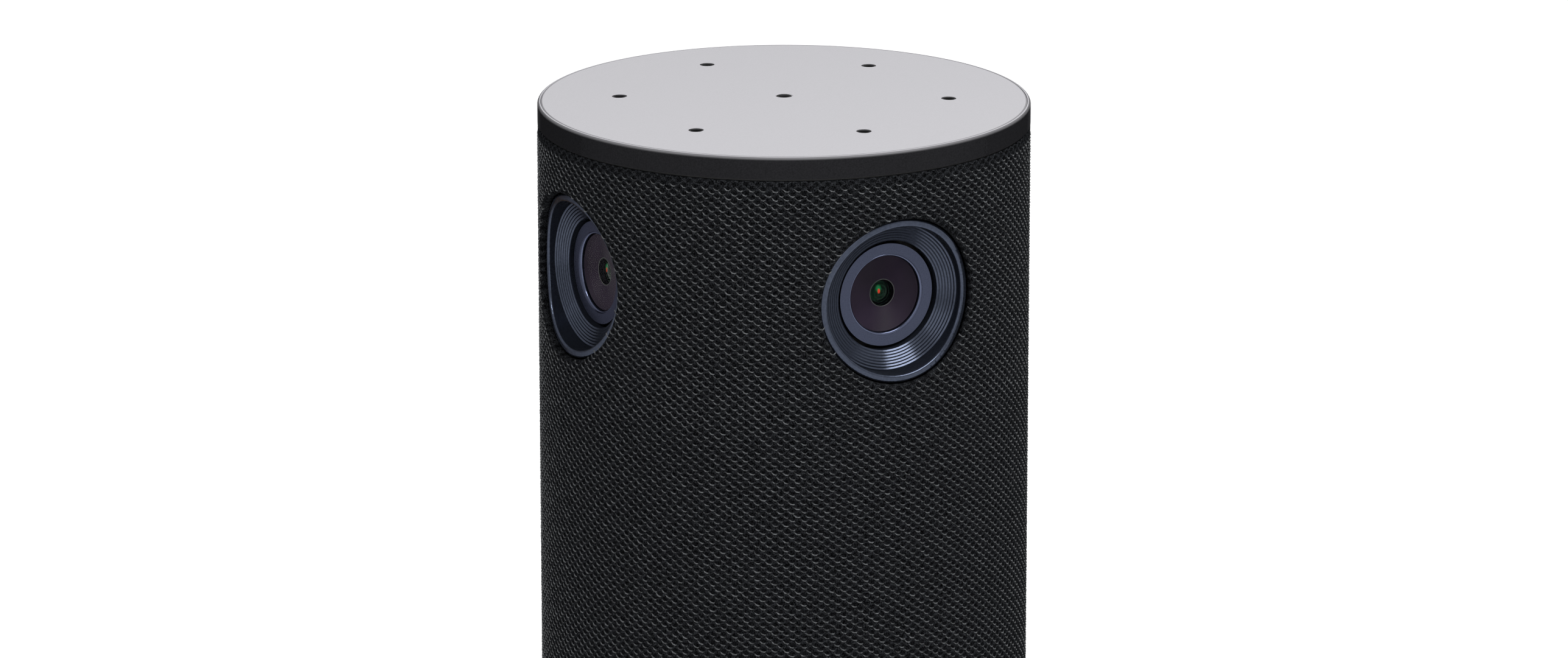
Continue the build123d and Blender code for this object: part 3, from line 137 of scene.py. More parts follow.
class TowerColours(bpy.types.PropertyGroup):
    """Colours of the finishes that show."""

    disc: swatch("Disc", "Anodised aluminium of the top disc", "#b4b3b7")
    band: swatch("Bands", "Moulded bands above and below the cloth", "#222224")
    cloth: swatch("Cloth", "Ground of the woven sleeve", "#1a1b1d")
    yarn: swatch("Yarn", "Raised yarn loops of the sleeve", "#595b5d")
    surround: swatch("Lens surround", "Moulded stepped surrounds of the lenses", "#3c414d")
    barrel: swatch("Lens barrel", "Anodised aluminium of the flat rings round the cover glasses", "#3a3e4d")
    mask: swatch("Lens mask", "Print behind the cover glasses", "#201825")


def give(tree, node, sockets):
    """Gives a node's sockets, by name or in order, a value or a link. A node stands for its live output."""
    for key, value in sockets.items() if isinstance(sockets, dict) else enumerate(sockets):
        if isinstance(value, bpy.types.Node):
            value = next(output for output in value.outputs if output.enabled)
        if isinstance(value, bpy.types.NodeSocket):
            tree.links.new(value, node.inputs[key])
        else:
            node.inputs[key].default_value = value


def add_node(tree, kind, sockets=(), **settings):
    """Adds a node with its settings and what its sockets are given."""
    node = tree.nodes.new(kind)
    for name, value in settings.items():
        setattr(node, name, value)
    give(tree, node, sockets)
    return node


def new_finish(name, **sockets):
    """Starts a material with plain values on its shader's sockets. Returns it, its tree and its shader."""
    material = bpy.data.materials.new(name)
    material.use_nodes = True
    tree = material.node_tree
    tree.nodes.clear()
    values = {key.replace("_", " "): value for key, value in sockets.items()}
    shader = add_node(tree, "ShaderNodeBsdfPrincipled", values)
    add_node(tree, "ShaderNodeOutputMaterial", {"Surface": shader})
    return material, tree, shader


def shaded(colour, factor):
    """The same colour, lighter or darker."""
    return (*[channel * factor for channel in colour[:3]], 1.0)


def tones(colour, dark, light):
    """The same colour at two factors, for a mottle between them."""
    return shaded(colour, dark), shaded(colour, light)


def mottle(tree, shader, colours, grain_mm, roughness, relief_mm=0.0):
    """Mottles a finish by grains of that size, between two colours and two roughnesses, in low relief."""
    place = add_node(tree, "ShaderNodeTexCoord").outputs["Object"]
    grain = {"Vector": place, "Scale": 1 / (grain_mm * MM), "Detail": 3.0}
    noise = add_node(tree, "ShaderNodeTexNoise", grain)
    middle = {"Value": noise, "From Min": NOISE_LOW, "From Max": NOISE_HIGH}
    spread = add_node(tree, "ShaderNodeMapRange", middle)
    tint = add_node(tree, "ShaderNodeMix", {0: spread, 6: colours[0], 7: colours[1]}, data_type="RGBA")
    smooth, rough = roughness
    gloss = add_node(tree, "ShaderNodeMapRange", {"Value": spread, "To Min": smooth, "To Max": rough})
    give(tree, shader, {"Base Color": tint, "Roughness": gloss})
    if relief_mm:
        pits = {"Height": spread, "Distance": relief_mm * MM, "Strength": 1.0}
        give(tree, shader, {"Normal": add_node(tree, "ShaderNodeBump", pits)})


def lay_over(tree, shader, share, **sockets):
    """Lays a plain second finish over that share of a shader's surface, for each socket named."""
    for name, over in sockets.items():
        goal = shader.inputs[name.replace("_", " ")]
        below = goal.links[0].from_socket if goal.links else goal.default_value
        # A Mix node takes numbers in its third and fourth sockets, and colours in its seventh and eighth
        first, kind = (6, "RGBA") if name == "Base_Color" else (2, "FLOAT")
        mixed = add_node(tree, "ShaderNodeMix", {0: share, first: below, first + 1: over}, data_type=kind)
        give(tree, shader, {goal.name: mixed})


def seen_directly(tree):
    """One for rays from the camera, a reflection or a clear piece, and nought for the light on surfaces."""
    ray = add_node(tree, "ShaderNodeLightPath").outputs
    bent = (ray["Is Glossy Ray"], ray["Is Transmission Ray"])
    mirrored = add_node(tree, "ShaderNodeMath", bent, operation="MAXIMUM")
    return add_node(tree, "ShaderNodeMath", (ray["Is Camera Ray"], mirrored), operation="MAXIMUM")


def beyond(tree, radius):
    """One for points farther from the tower's axis than the radius, nought for the rest."""
    place = add_node(tree, "ShaderNodeTexCoord").outputs["Object"]
    flat = add_node(tree, "ShaderNodeVectorMath", (place, (1, 1, 0)), operation="MULTIPLY")
    reach = add_node(tree, "ShaderNodeVectorMath", (flat,), operation="LENGTH")
    return add_node(tree, "ShaderNodeMath", (reach, radius), operation="GREATER_THAN")


def anodised_disc(colour, edge_radius):
    # Aluminium, bead blasted and anodised clear: an even pale grey, so matt that no lamp shows in it.
    # Blasting leaves pits of about 0.1 mm; they are drawn at 0.3 mm, so that they show.
    material, tree, shader = new_finish("anodised_aluminium_blasted", Metallic=0.2, Specular_IOR_Level=0.2)
    mottle(tree, shader, tones(colour, 0.96, 1.04), grain_mm=0.3, roughness=(0.58, 0.66), relief_mm=0.004)
    # The tumbled edge is rougher, and painted darker as shade, so that it draws no bright line round the
    # disc
    edge = beyond(tree, edge_radius)
    lay_over(tree, shader, edge, Base_Color=shaded(colour, 0.6), Roughness=0.7)
    return material


def moulded_band(colour):
    # Satin black lacquer with fine metal flake: black sides, a soft highlight where an edge meets the light.
    material, tree, shader = new_finish(
        "satin_lacquer_black", Metallic=0.25, Specular_IOR_Level=0.0, Specular_Tint=linear("#2a2a2c")
    )
    mottle(tree, shader, tones(colour, 0.85, 1.2), grain_mm=0.35, roughness=(0.34, 0.42), relief_mm=0.003)
    return material


def soft_button(colour):
    # Plastic with a soft-touch coat: matt and a shade paler than the band, so that the row reads against it.
    material, tree, shader = new_finish("soft_touch_plastic_charcoal", Specular_IOR_Level=0.3)
    mottle(tree, shader, tones(colour, 1.6, 2.0), grain_mm=0.3, roughness=(0.62, 0.7), relief_mm=0.003)
    return material


def edged_rim(colour, edge_colour, top, inner_radius):
    # The same lacquer, light painted along its top in the disc's colour: the disc rolls softly into the
    # band.
    material = moulded_band(colour)
    material.name = "satin_lacquer_black_painted_edge"
    tree = material.node_tree
    shader = tree.nodes["Principled BSDF"]
    place = add_node(tree, "ShaderNodeTexCoord").outputs["Object"]
    height = add_node(tree, "ShaderNodeSeparateXYZ", (place,)).outputs["Z"]
    # Layers of painted light down the top edge: where each starts and ends below the top in millimetres,
    # its shade, metallic and roughness
    layers = ((0.75, 0.1, 0.35, 0.3, 0.6), (0.08, 0.02, 0.85, 0.2, 0.6))
    for start, end, shade, metallic, roughness in layers:
        stretch = {"Value": height, "From Min": top - start * MM, "From Max": top - end * MM}
        share = add_node(tree, "ShaderNodeMapRange", stretch, interpolation_type="SMOOTHSTEP")
        painted_light = shaded(edge_colour, shade)
        lay_over(tree, shader, share, Base_Color=painted_light, Metallic=metallic, Roughness=roughness)
    # The recess wall is painted as pale as the disc, light over the gap's shade, so that the seam stays
    # faint
    inside = add_node(tree, "ShaderNodeMath", (1.0, beyond(tree, inner_radius)), operation="SUBTRACT")
    lay_over(tree, shader, inside, Base_Color=shaded(edge_colour, 1.1), Metallic=0.0, Roughness=0.7)
    return material


def acoustic_mesh():
    # Blackened woven wire mesh, and painted shade on the liners: closes the microphone holes to the eye.
    material, tree, shader = new_finish("acoustic_mesh_and_shade_black", Specular_IOR_Level=0.3)
    colours = (linear("#060607"), linear("#141416"))
    mottle(tree, shader, colours, grain_mm=0.1, roughness=(0.6, 0.8), relief_mm=0.02)
    return material


# A slate metal without a clear coat, whose warm edge tint keeps its glancing reflections from turning blue
SLATE_SHEEN = {"Specular_IOR_Level": 0.0, "Specular_Tint": linear("#a29a89")}


def moulded_surround(colour, outer, inner, steps):
    # Metallic slate lacquer over a smooth moulding: dark where it turns away, a cool sheen on every step.
    material, tree, shader = new_finish("metallic_lacquer_slate", Metallic=0.75, **SLATE_SHEEN)
    mottle(tree, shader, tones(colour, 0.85, 1.15), grain_mm=0.5, roughness=(0.15, 0.2), relief_mm=0.002)
    place = add_node(tree, "ShaderNodeTexCoord").outputs["Object"]
    level = add_node(tree, "ShaderNodeVectorMath", (place, (0, 0, LENS_HEIGHT)), operation="SUBTRACT")
    away = add_node(tree, "ShaderNodeVectorMath", (level,), operation="ABSOLUTE")
    split = add_node(tree, "ShaderNodeSeparateXYZ", (away,)).outputs
    # The nearer of the two ways across, so that one finish serves all four sides
    across = add_node(tree, "ShaderNodeMath", (split["X"], split["Y"]), operation="MINIMUM")
    flat = add_node(tree, "ShaderNodeCombineXYZ", {"X": across, "Z": split["Z"]})
    reach = add_node(tree, "ShaderNodeVectorMath", (flat,), operation="LENGTH")
    # The treads of the cone are matt and painted dark as shade, so that its slopes stand out as bright lines
    depth = add_node(tree, "ShaderNodeMath", (outer, reach), operation="SUBTRACT")
    passed = add_node(tree, "ShaderNodeMath", (depth, (outer - inner) / steps), operation="DIVIDE")
    along = add_node(tree, "ShaderNodeMath", (passed,), operation="FRACT")
    fade = {"Value": along, "From Min": 0.4, "From Max": 0.6, "To Min": 0.75, "To Max": 0.0}
    painted_tread_shade = add_node(tree, "ShaderNodeMapRange", fade)
    # The outermost and innermost hair of the cone belong to the lip and the opening
    middle, half, hair = (outer + inner) / 2, (outer - inner) / 2, 0.03 * MM
    on_cone = add_node(tree, "ShaderNodeMath", (reach, middle, half - hair), operation="COMPARE")
    share = add_node(tree, "ShaderNodeMath", (painted_tread_shade, on_cone), operation="MULTIPLY")
    lay_over(tree, shader, share, Base_Color=shaded(colour, 0.3), Metallic=0.6, Roughness=0.4)
    return material


def machined_barrel(colour):
    # Aluminium barrel, turned and anodised slate: a flat satin ring that takes the light evenly.
    material, tree, shader = new_finish("anodised_barrel_slate", Metallic=0.85, **SLATE_SHEEN)
    mottle(tree, shader, tones(colour, 0.9, 1.1), grain_mm=0.25, roughness=(0.26, 0.34), relief_mm=0.002)
    return material


def polished_bevel_highlight(colour):
    # The same barrel, cut bright on its bevel, and painted paler there as a highlight:
    # a thin cool crescent where it meets the key light.
    material, tree, shader = new_finish("anodised_barrel_bevel_highlight", Metallic=0.9, **SLATE_SHEEN)
    mottle(tree, shader, tones(colour, 1.5, 1.8), grain_mm=0.25, roughness=(0.13, 0.17), relief_mm=0.001)
    return material


def coated_glass():
    # Cover glass with an anti-reflective coating: thin and clear, so that the print behind it reads well.
    material, tree, shader = new_finish("coated_cover_glass", Alpha=0.06, Specular_IOR_Level=0.1)
    mottle(tree, shader, (linear("#141016"), linear("#1b1420")), grain_mm=5, roughness=(0.02, 0.06))
    return material


def printed_mask(colour):
    # Screen-printed ink on the back and the edge of the glass: a flat brown purple that shifts a little.
    material, tree, shader = new_finish("screen_printed_mask", Specular_IOR_Level=0.15)
    mottle(tree, shader, tones(colour, 0.7, 1.3), grain_mm=7, roughness=(0.5, 0.6))
    return material


def pupil_edge():
    # The edge of the mask's opening, drawn as a thin pale line round the pupil.
    material, tree, shader = new_finish("mask_edge_pale", Specular_IOR_Level=0.4)
    mottle(tree, shader, (linear("#343736"), linear("#4b4f4c")), grain_mm=1, roughness=(0.4, 0.5))
    return material


# Coated glass gives back a faint green
GREEN_COATING = {"Specular_IOR_Level": 0.15, "Specular_Tint": linear("#4fbf86")}


def coated_element():
    # Front element, ground and polished glass: black depth with a faint green reflection.
    material, tree, shader = new_finish("coated_element_glass", **GREEN_COATING)
    mottle(tree, shader, (linear("#030504"), linear("#050907")), grain_mm=2, roughness=(0.04, 0.08))
    return material


def inner_reflections():
    # and a red glint left of the middle, all painted into the colour.
    # Painted reflections of the coated lens groups seen in the pupil: green rings, a green flare
    # The UV map holds the place on the dome in millimetres from its middle.
    material, tree, shader = new_finish("painted_lens_reflections", Roughness=0.06, **GREEN_COATING)
    place = add_node(tree, "ShaderNodeUVMap", uv_map="place")
    # One painted reflection ring every 0.75 mm
    reach = add_node(tree, "ShaderNodeVectorMath", (place,), operation="LENGTH")
    beat = add_node(tree, "ShaderNodeMath", (reach, 2 * math.pi / 0.75), operation="MULTIPLY")
    wave = add_node(tree, "ShaderNodeMath", (beat,), operation="COSINE")
    ring = add_node(tree, "ShaderNodeMapRange", {"Value": wave, "From Min": 0.3, "To Max": 0.8})
    depth, green = linear("#040706"), linear("#12281d")
    tint = add_node(tree, "ShaderNodeMix", {0: ring, 6: depth, 7: green}, data_type="RGBA")
    # The painted flare and glint: middle, stretch, the distances between which each fades out, and colour
    spots = (
        ((-0.5, 0.8, 0), (1.0, 0.8, 1), 0.25, 0.85, "#1f7a45"),
        ((-0.4, 0.25, 0), (1.4, 0.8, 1), 0.3, 0.5, "#e2412b"),
    )
    for middle, stretch, near, far, code in spots:
        offset = add_node(tree, "ShaderNodeVectorMath", (place, middle), operation="SUBTRACT")
        bent = add_node(tree, "ShaderNodeVectorMath", (offset, stretch), operation="MULTIPLY")
        away = add_node(tree, "ShaderNodeVectorMath", (bent,), operation="LENGTH")
        fade = {"Value": away, "From Min": near, "From Max": far, "To Min": 1.0, "To Max": 0.0}
        share = add_node(tree, "ShaderNodeMapRange", fade, interpolation_type="SMOOTHSTEP")
        tint = add_node(tree, "ShaderNodeMix", {0: share, 6: tint, 7: linear(code)}, data_type="RGBA")
    give(tree, shader, {"Base Color": tint})
    return material


def woven_ground(colour, columns, pitch, phase):
    # Polyester ground weave: near black and lint-fine uneven; the pit above each raised loop is painted
    # shade.
    material, tree, shader = new_finish("woven_polyester_ground", Specular_IOR_Level=0.0, Roughness=0.75)
    place = add_node(tree, "ShaderNodeTexCoord").outputs["Object"]
    # The threads wander by up to 0.2 mm either way, over stretches of about 6 mm
    sway = add_node(tree, "ShaderNodeTexNoise", {"Vector": place, "Scale": 1 / (6 * MM)}).outputs["Color"]
    centred = add_node(tree, "ShaderNodeVectorMath", (sway, (0.5, 0.5, 0.5)), operation="SUBTRACT")
    wander = (centred, (0.4 * MM,) * 3, place)
    drift = add_node(tree, "ShaderNodeVectorMath", wander, operation="MULTIPLY_ADD")
    split = add_node(tree, "ShaderNodeSeparateXYZ", (drift,)).outputs
    turn = add_node(tree, "ShaderNodeMath", (split["Y"], split["X"]), operation="ARCTAN2")
    column = add_node(tree, "ShaderNodeMath", (turn, columns / (2 * math.pi)), operation="MULTIPLY")
    two_rows = 2 * pitch
    lift = (split["Z"], 1 / two_rows, -phase / two_rows)
    row = add_node(tree, "ShaderNodeMath", lift, operation="MULTIPLY_ADD")
    cell = add_node(tree, "ShaderNodeCombineXYZ", (column, row))
    # Two grids of pits, half a cell apart both ways, as the loops of odd and even rows are.
    # Each pit is an ellipse four fifths as wide and as high as its cell
    reaches = []
    for shift in (0.5, 1.0):
        moved = add_node(tree, "ShaderNodeVectorMath", (cell, (shift, shift, 0)), operation="ADD")
        part = add_node(tree, "ShaderNodeVectorMath", (moved,), operation="FRACTION")
        middle = add_node(tree, "ShaderNodeVectorMath", (part, (0.5, 0.5, 0)), operation="SUBTRACT")
        real = add_node(tree, "ShaderNodeVectorMath", (middle, (2.1, 2.2, 0)), operation="MULTIPLY")
        reaches.append(add_node(tree, "ShaderNodeVectorMath", (real,), operation="LENGTH"))
    nearest = add_node(tree, "ShaderNodeMath", reaches, operation="MINIMUM")
    slope = {"Value": nearest, "From Min": 0.2, "From Max": 0.85}
    ridge = add_node(tree, "ShaderNodeMapRange", slope, interpolation_type="SMOOTHSTEP")
    # Fibres of a quarter of a millimetre: real ones are finer and wouldn't show
    fibre = add_node(tree, "ShaderNodeTexNoise", {"Vector": place, "Scale": 1 / (0.25 * MM)})
    height = add_node(tree, "ShaderNodeMath", (fibre, 0.35, ridge), operation="MULTIPLY_ADD")
    relief = add_node(tree, "ShaderNodeBump", {"Height": height, "Distance": 0.35 * MM, "Strength": 1.0})
    # The pits are painted darker as shade, at under half the cloth's colour
    dark, pale = tones(colour, 0.45, 1.3)
    tint = add_node(tree, "ShaderNodeMix", {0: ridge, 6: dark, 7: pale}, data_type="RGBA")
    lint = {"Value": fibre, "From Min": 0.38, "From Max": 0.62, "To Min": 0.15, "To Max": 2.4}
    speck = add_node(tree, "ShaderNodeMapRange", lint)
    specked = add_node(tree, "ShaderNodeVectorMath", {0: tint, "Scale": speck}, operation="SCALE")
    give(tree, shader, {"Base Color": specked, "Normal": relief})
    return material


def spun_yarn(colour):
    # Polyester yarn, loosely spun: charcoal loops, some brighter than others, with a soft glint.
    material, tree, shader = new_finish("spun_polyester_yarn", Specular_IOR_Level=0.12)
    mottle(tree, shader, tones(colour, 0.15, 1.5), grain_mm=0.7, roughness=(0.5, 0.66), relief_mm=0.02)
    return material


# Finishes of what shows little or not at all, by the record's slot:
# name, metallic, two colours, two roughnesses, and grain and relief in millimetres
INNER_FINISHES = {
    # Glass-filled nylon from a rough tool: dull black
    "inner_plastic": ("moulded_nylon", 0.0, ("#131314", "#1c1c1e"), (0.5, 0.62), 0.6, 0.01),
    # Circuit board under green solder mask: smooth, a little uneven over the copper
    "circuit_board": ("solder_mask", 0.0, ("#0f3a22", "#17502f"), (0.3, 0.4), 2.0, 0.01),
    # Black epoxy of chips and capsules: matt and even
    "chip_black": ("moulded_epoxy", 0.0, ("#0b0b0c", "#151516"), (0.55, 0.7), 0.4, 0.01),
    # Polyimide film of the ribbons: amber and glossy
    "ribbon_film": ("polyimide_film", 0.0, ("#7a4a10", "#94601c"), (0.25, 0.35), 1.5, 0.0),
    # Extruded aluminium of the heat sink: bright and faintly mottled
    "bare_aluminium": ("extruded_aluminium", 1.0, ("#a9abae", "#c2c4c7"), (0.3, 0.42), 0.5, 0.005),
    # Steel sheet and bar, zinc plated: cool grey with a soft mottle
    "steel": ("zinc_plated_steel", 1.0, ("#8f9296", "#a9acb0"), (0.28, 0.4), 1.2, 0.004),
    # Screws in black oxide: near black, with a dull glint of steel
    "screw_black": ("black_oxide_steel", 1.0, ("#1a1a1c", "#2b2b2e"), (0.35, 0.5), 0.5, 0.004),
    # Sintered ferrite of the magnet: charcoal, dull as stone
    "ferrite": ("sintered_ferrite", 0.0, ("#1b1b1d", "#29292b"), (0.55, 0.7), 0.5, 0.02),
    # Pressed paper of the cone: felted fibres
    "paper_cone": ("pressed_paper", 0.0, ("#0f0f10", "#1d1d1f"), (0.75, 0.9), 0.8, 0.04),
    # Moulded rubber: dark grey, barely any gloss
    "soft_rubber": ("moulded_rubber", 0.0, ("#141415", "#1e1e20"), (0.6, 0.75), 0.4, 0.01),
    # Closed-cell foam: black, without any gloss
    "foam": ("cell_foam", 0.0, ("#0a0a0b", "#141415"), (0.85, 0.95), 0.4, 0.05),
    # Cotton of the spider, stiffened with resin: amber cloth
    "spider_cloth": ("resin_cotton", 0.0, ("#8a6424", "#a87c34"), (0.6, 0.75), 0.5, 0.03),
    # Turned brass: warm yellow and bright
    "brass": ("turned_brass", 1.0, ("#b08a3e", "#c79f4f"), (0.22, 0.32), 0.5, 0.002),
}


def dress(nodes, material):
    """Gives CAD nodes one material."""
    for name in nodes:
        mesh = frame["nodes"][name].data
        mesh.materials.clear()
        mesh.materials.append(material)


def link_piece(bm, name, material):
    """Makes a smooth piece of a bmesh, with its name and finish."""
    mesh = bpy.data.meshes.new(name)
    bm.to_mesh(mesh)
    bm.free()
    mesh.materials.append(material)
    for face in mesh.polygons:
        face.use_smooth = True
    piece = bpy.data.objects.new(name, mesh)
    bpy.context.scene.collection.objects.link(piece)
    return piece


def lens_point(side, across, up, distance):
    """The point that far across and above a lens axis, at that distance from the tower's axis."""
    angle = SIDES[side]
    out = Vector((math.cos(angle), math.sin(angle), 0))
    along = Vector((-math.sin(angle), math.cos(angle), 0))
    return out * distance + along * across + Vector((0, 0, LENS_HEIGHT + up))


def round_points(radius, count):
    """That many points evenly round a circle, each as its two coordinates."""
    turns = [2 * math.pi * step / count for step in range(count)]
    return [(radius * math.cos(turn), radius * math.sin(turn)) for turn in turns]


def add_ring(bm, outline, spot, segments):
    """Adds a closed ring, whose section has these radii and heights. spot places a point of it."""
    loops = [
        [bm.verts.new(spot(x, y, height)) for x, y in round_points(radius, segments)]
        for radius, height in outline
    ]
    faces = []
    for loop, following in zip(loops, loops[1:] + loops[:1]):
        for step in range(segments):
            after = (step + 1) % segments
            faces.append(bm.faces.new((loop[step], loop[after], following[after], following[step])))
    bmesh.ops.recalc_face_normals(bm, faces=faces)


def turned_ring(name, side, outline, material):
    """A closed ring round a lens axis, whose section has these radii and distances."""
    bm = bmesh.new()
    add_ring(
        bm, outline, lambda across, up, distance: lens_point(side, across, up, distance), segments=96
    )
    return link_piece(bm, name, material)


def dome_skin(name, side, reach, material, segments=48, rings=10):
    """A skin on a front element's dome out to that radius. Its UV map holds millimetres across and up."""
    low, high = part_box(f"front_element_{side}")
    front = max(abs(edge) for edge in (low.x, low.y, high.x, high.y)) + SKIN_GAP
    bm = bmesh.new()
    layer = bm.loops.layers.uv.new("place")
    loops, spots = [], {}
    for ring in range(rings + 1):
        radius = reach * ring / rings
        fall = DOME_RADIUS - math.sqrt(DOME_RADIUS**2 - radius**2)
        loops.append([])
        for across, up in round_points(radius, segments if ring else 1):
            vert = bm.verts.new(lens_point(side, across, up, front - fall))
            spots[vert] = (across / MM, up / MM)
            loops[-1].append(vert)
    middle = loops.pop(0)[0]
    for step in range(segments):
        after = (step + 1) % segments
        bm.faces.new((middle, loops[0][step], loops[0][after]))
        for inner, outer in zip(loops, loops[1:]):
            bm.faces.new((inner[step], outer[step], outer[after], inner[after]))
    for face in bm.faces:
        for loop in face.loops:
            loop[layer].uv = spots[loop.vert]
    return link_piece(bm, name, material)


def cloth_ground(sizes, material):
    """The sleeve's ground: one tube with four lens holes, its cut edges rolled in all round."""
    radius, steps = sizes.cloth_radius, 40
    top, bottom = SLEEVE_HIGH.z - 0.6 * MM, SLEEVE_LOW.z + 0.5 * MM
    half_height = top - LENS_HEIGHT
    hole = BEZEL_RADIUS + 0.25 * MM
    # How the cut edge rolls in: distance outside the hole and depth below the cloth, in millimetres
    roll = ((0.0, 1.8), (0.0, 0.9), (0.06, 0.45), (0.22, 0.14), (0.5, 0.02), (0.9, 0.0))
    # From there on the rings go over, by these shares, to the square that is a quarter of the tube
    spread = (0.06, 0.14, 0.24, 0.36, 0.5, 0.66, 0.83, 1.0)
    rows = [(out, depth, 0) for out, depth in roll] + [(*roll[-1], share) for share in spread]
    edge = [2 * step / steps - 1 for step in range(steps)]
    square = [(1, t) for t in edge] + [(-t, 1) for t in edge] + [(-1, -t) for t in edge]
    square += [(t, -1) for t in edge]
    # Above and below the square the cloth is a plain tube, which rolls in at its ends too
    upper_roll = ((0.03, 0.2), (0.12, 0.4), (0.28, 0.52))
    lower_roll = ((0.03, 0.2), (0.12, 0.35), (0.28, 0.45))
    square_foot, tube_rows = LENS_HEIGHT - half_height, 30
    upper = [(radius, top)] + [(radius - depth * MM, top + rise * MM) for depth, rise in upper_roll]
    lower = [
        (radius, square_foot + (bottom - square_foot) * row / tube_rows) for row in range(tube_rows + 1)
    ] + [(radius - depth * MM, bottom - fall * MM) for depth, fall in lower_roll]
    bm = bmesh.new()
    for side, angle in SIDES.items():
        rings = []
        for out, depth, share in rows:
            rings.append([])
            for x, y in square:
                turn = math.atan2(y, x)
                start = math.asin((hole + out * MM) * math.cos(turn) / radius)
                start_up = (hole + out * MM) * math.sin(turn)
                arc = start + (x * math.pi / 4 - start) * share
                up = start_up + (y * half_height - start_up) * share
                spot = lens_point(side, radius * math.sin(arc), up, radius * math.cos(arc) - depth * MM)
                rings[-1].append(bm.verts.new(spot))
        for inner, outer in zip(rings, rings[1:]):
            for step in range(len(square)):
                after = (step + 1) % len(square)
                bm.faces.new((inner[step], outer[step], outer[after], inner[after]))
        turns = [angle + (step / steps - 0.5) * math.pi / 2 for step in range(steps + 1)]
        for profile in (upper, lower):
            grid = [
                [bm.verts.new((reach * math.cos(turn), reach * math.sin(turn), height)) for turn in turns]
                for reach, height in profile
            ]
            for row, following in zip(grid, grid[1:]):
                for step in range(steps):
                    corners = (row[step], row[step + 1], following[step + 1], following[step])
                    bm.faces.new(corners if profile is upper else corners[::-1])
    bmesh.ops.remove_doubles(bm, verts=bm.verts, dist=0.01 * MM)
    bmesh.ops.recalc_face_normals(bm, faces=bm.faces)
    return link_piece(bm, "fabric_ground", material)


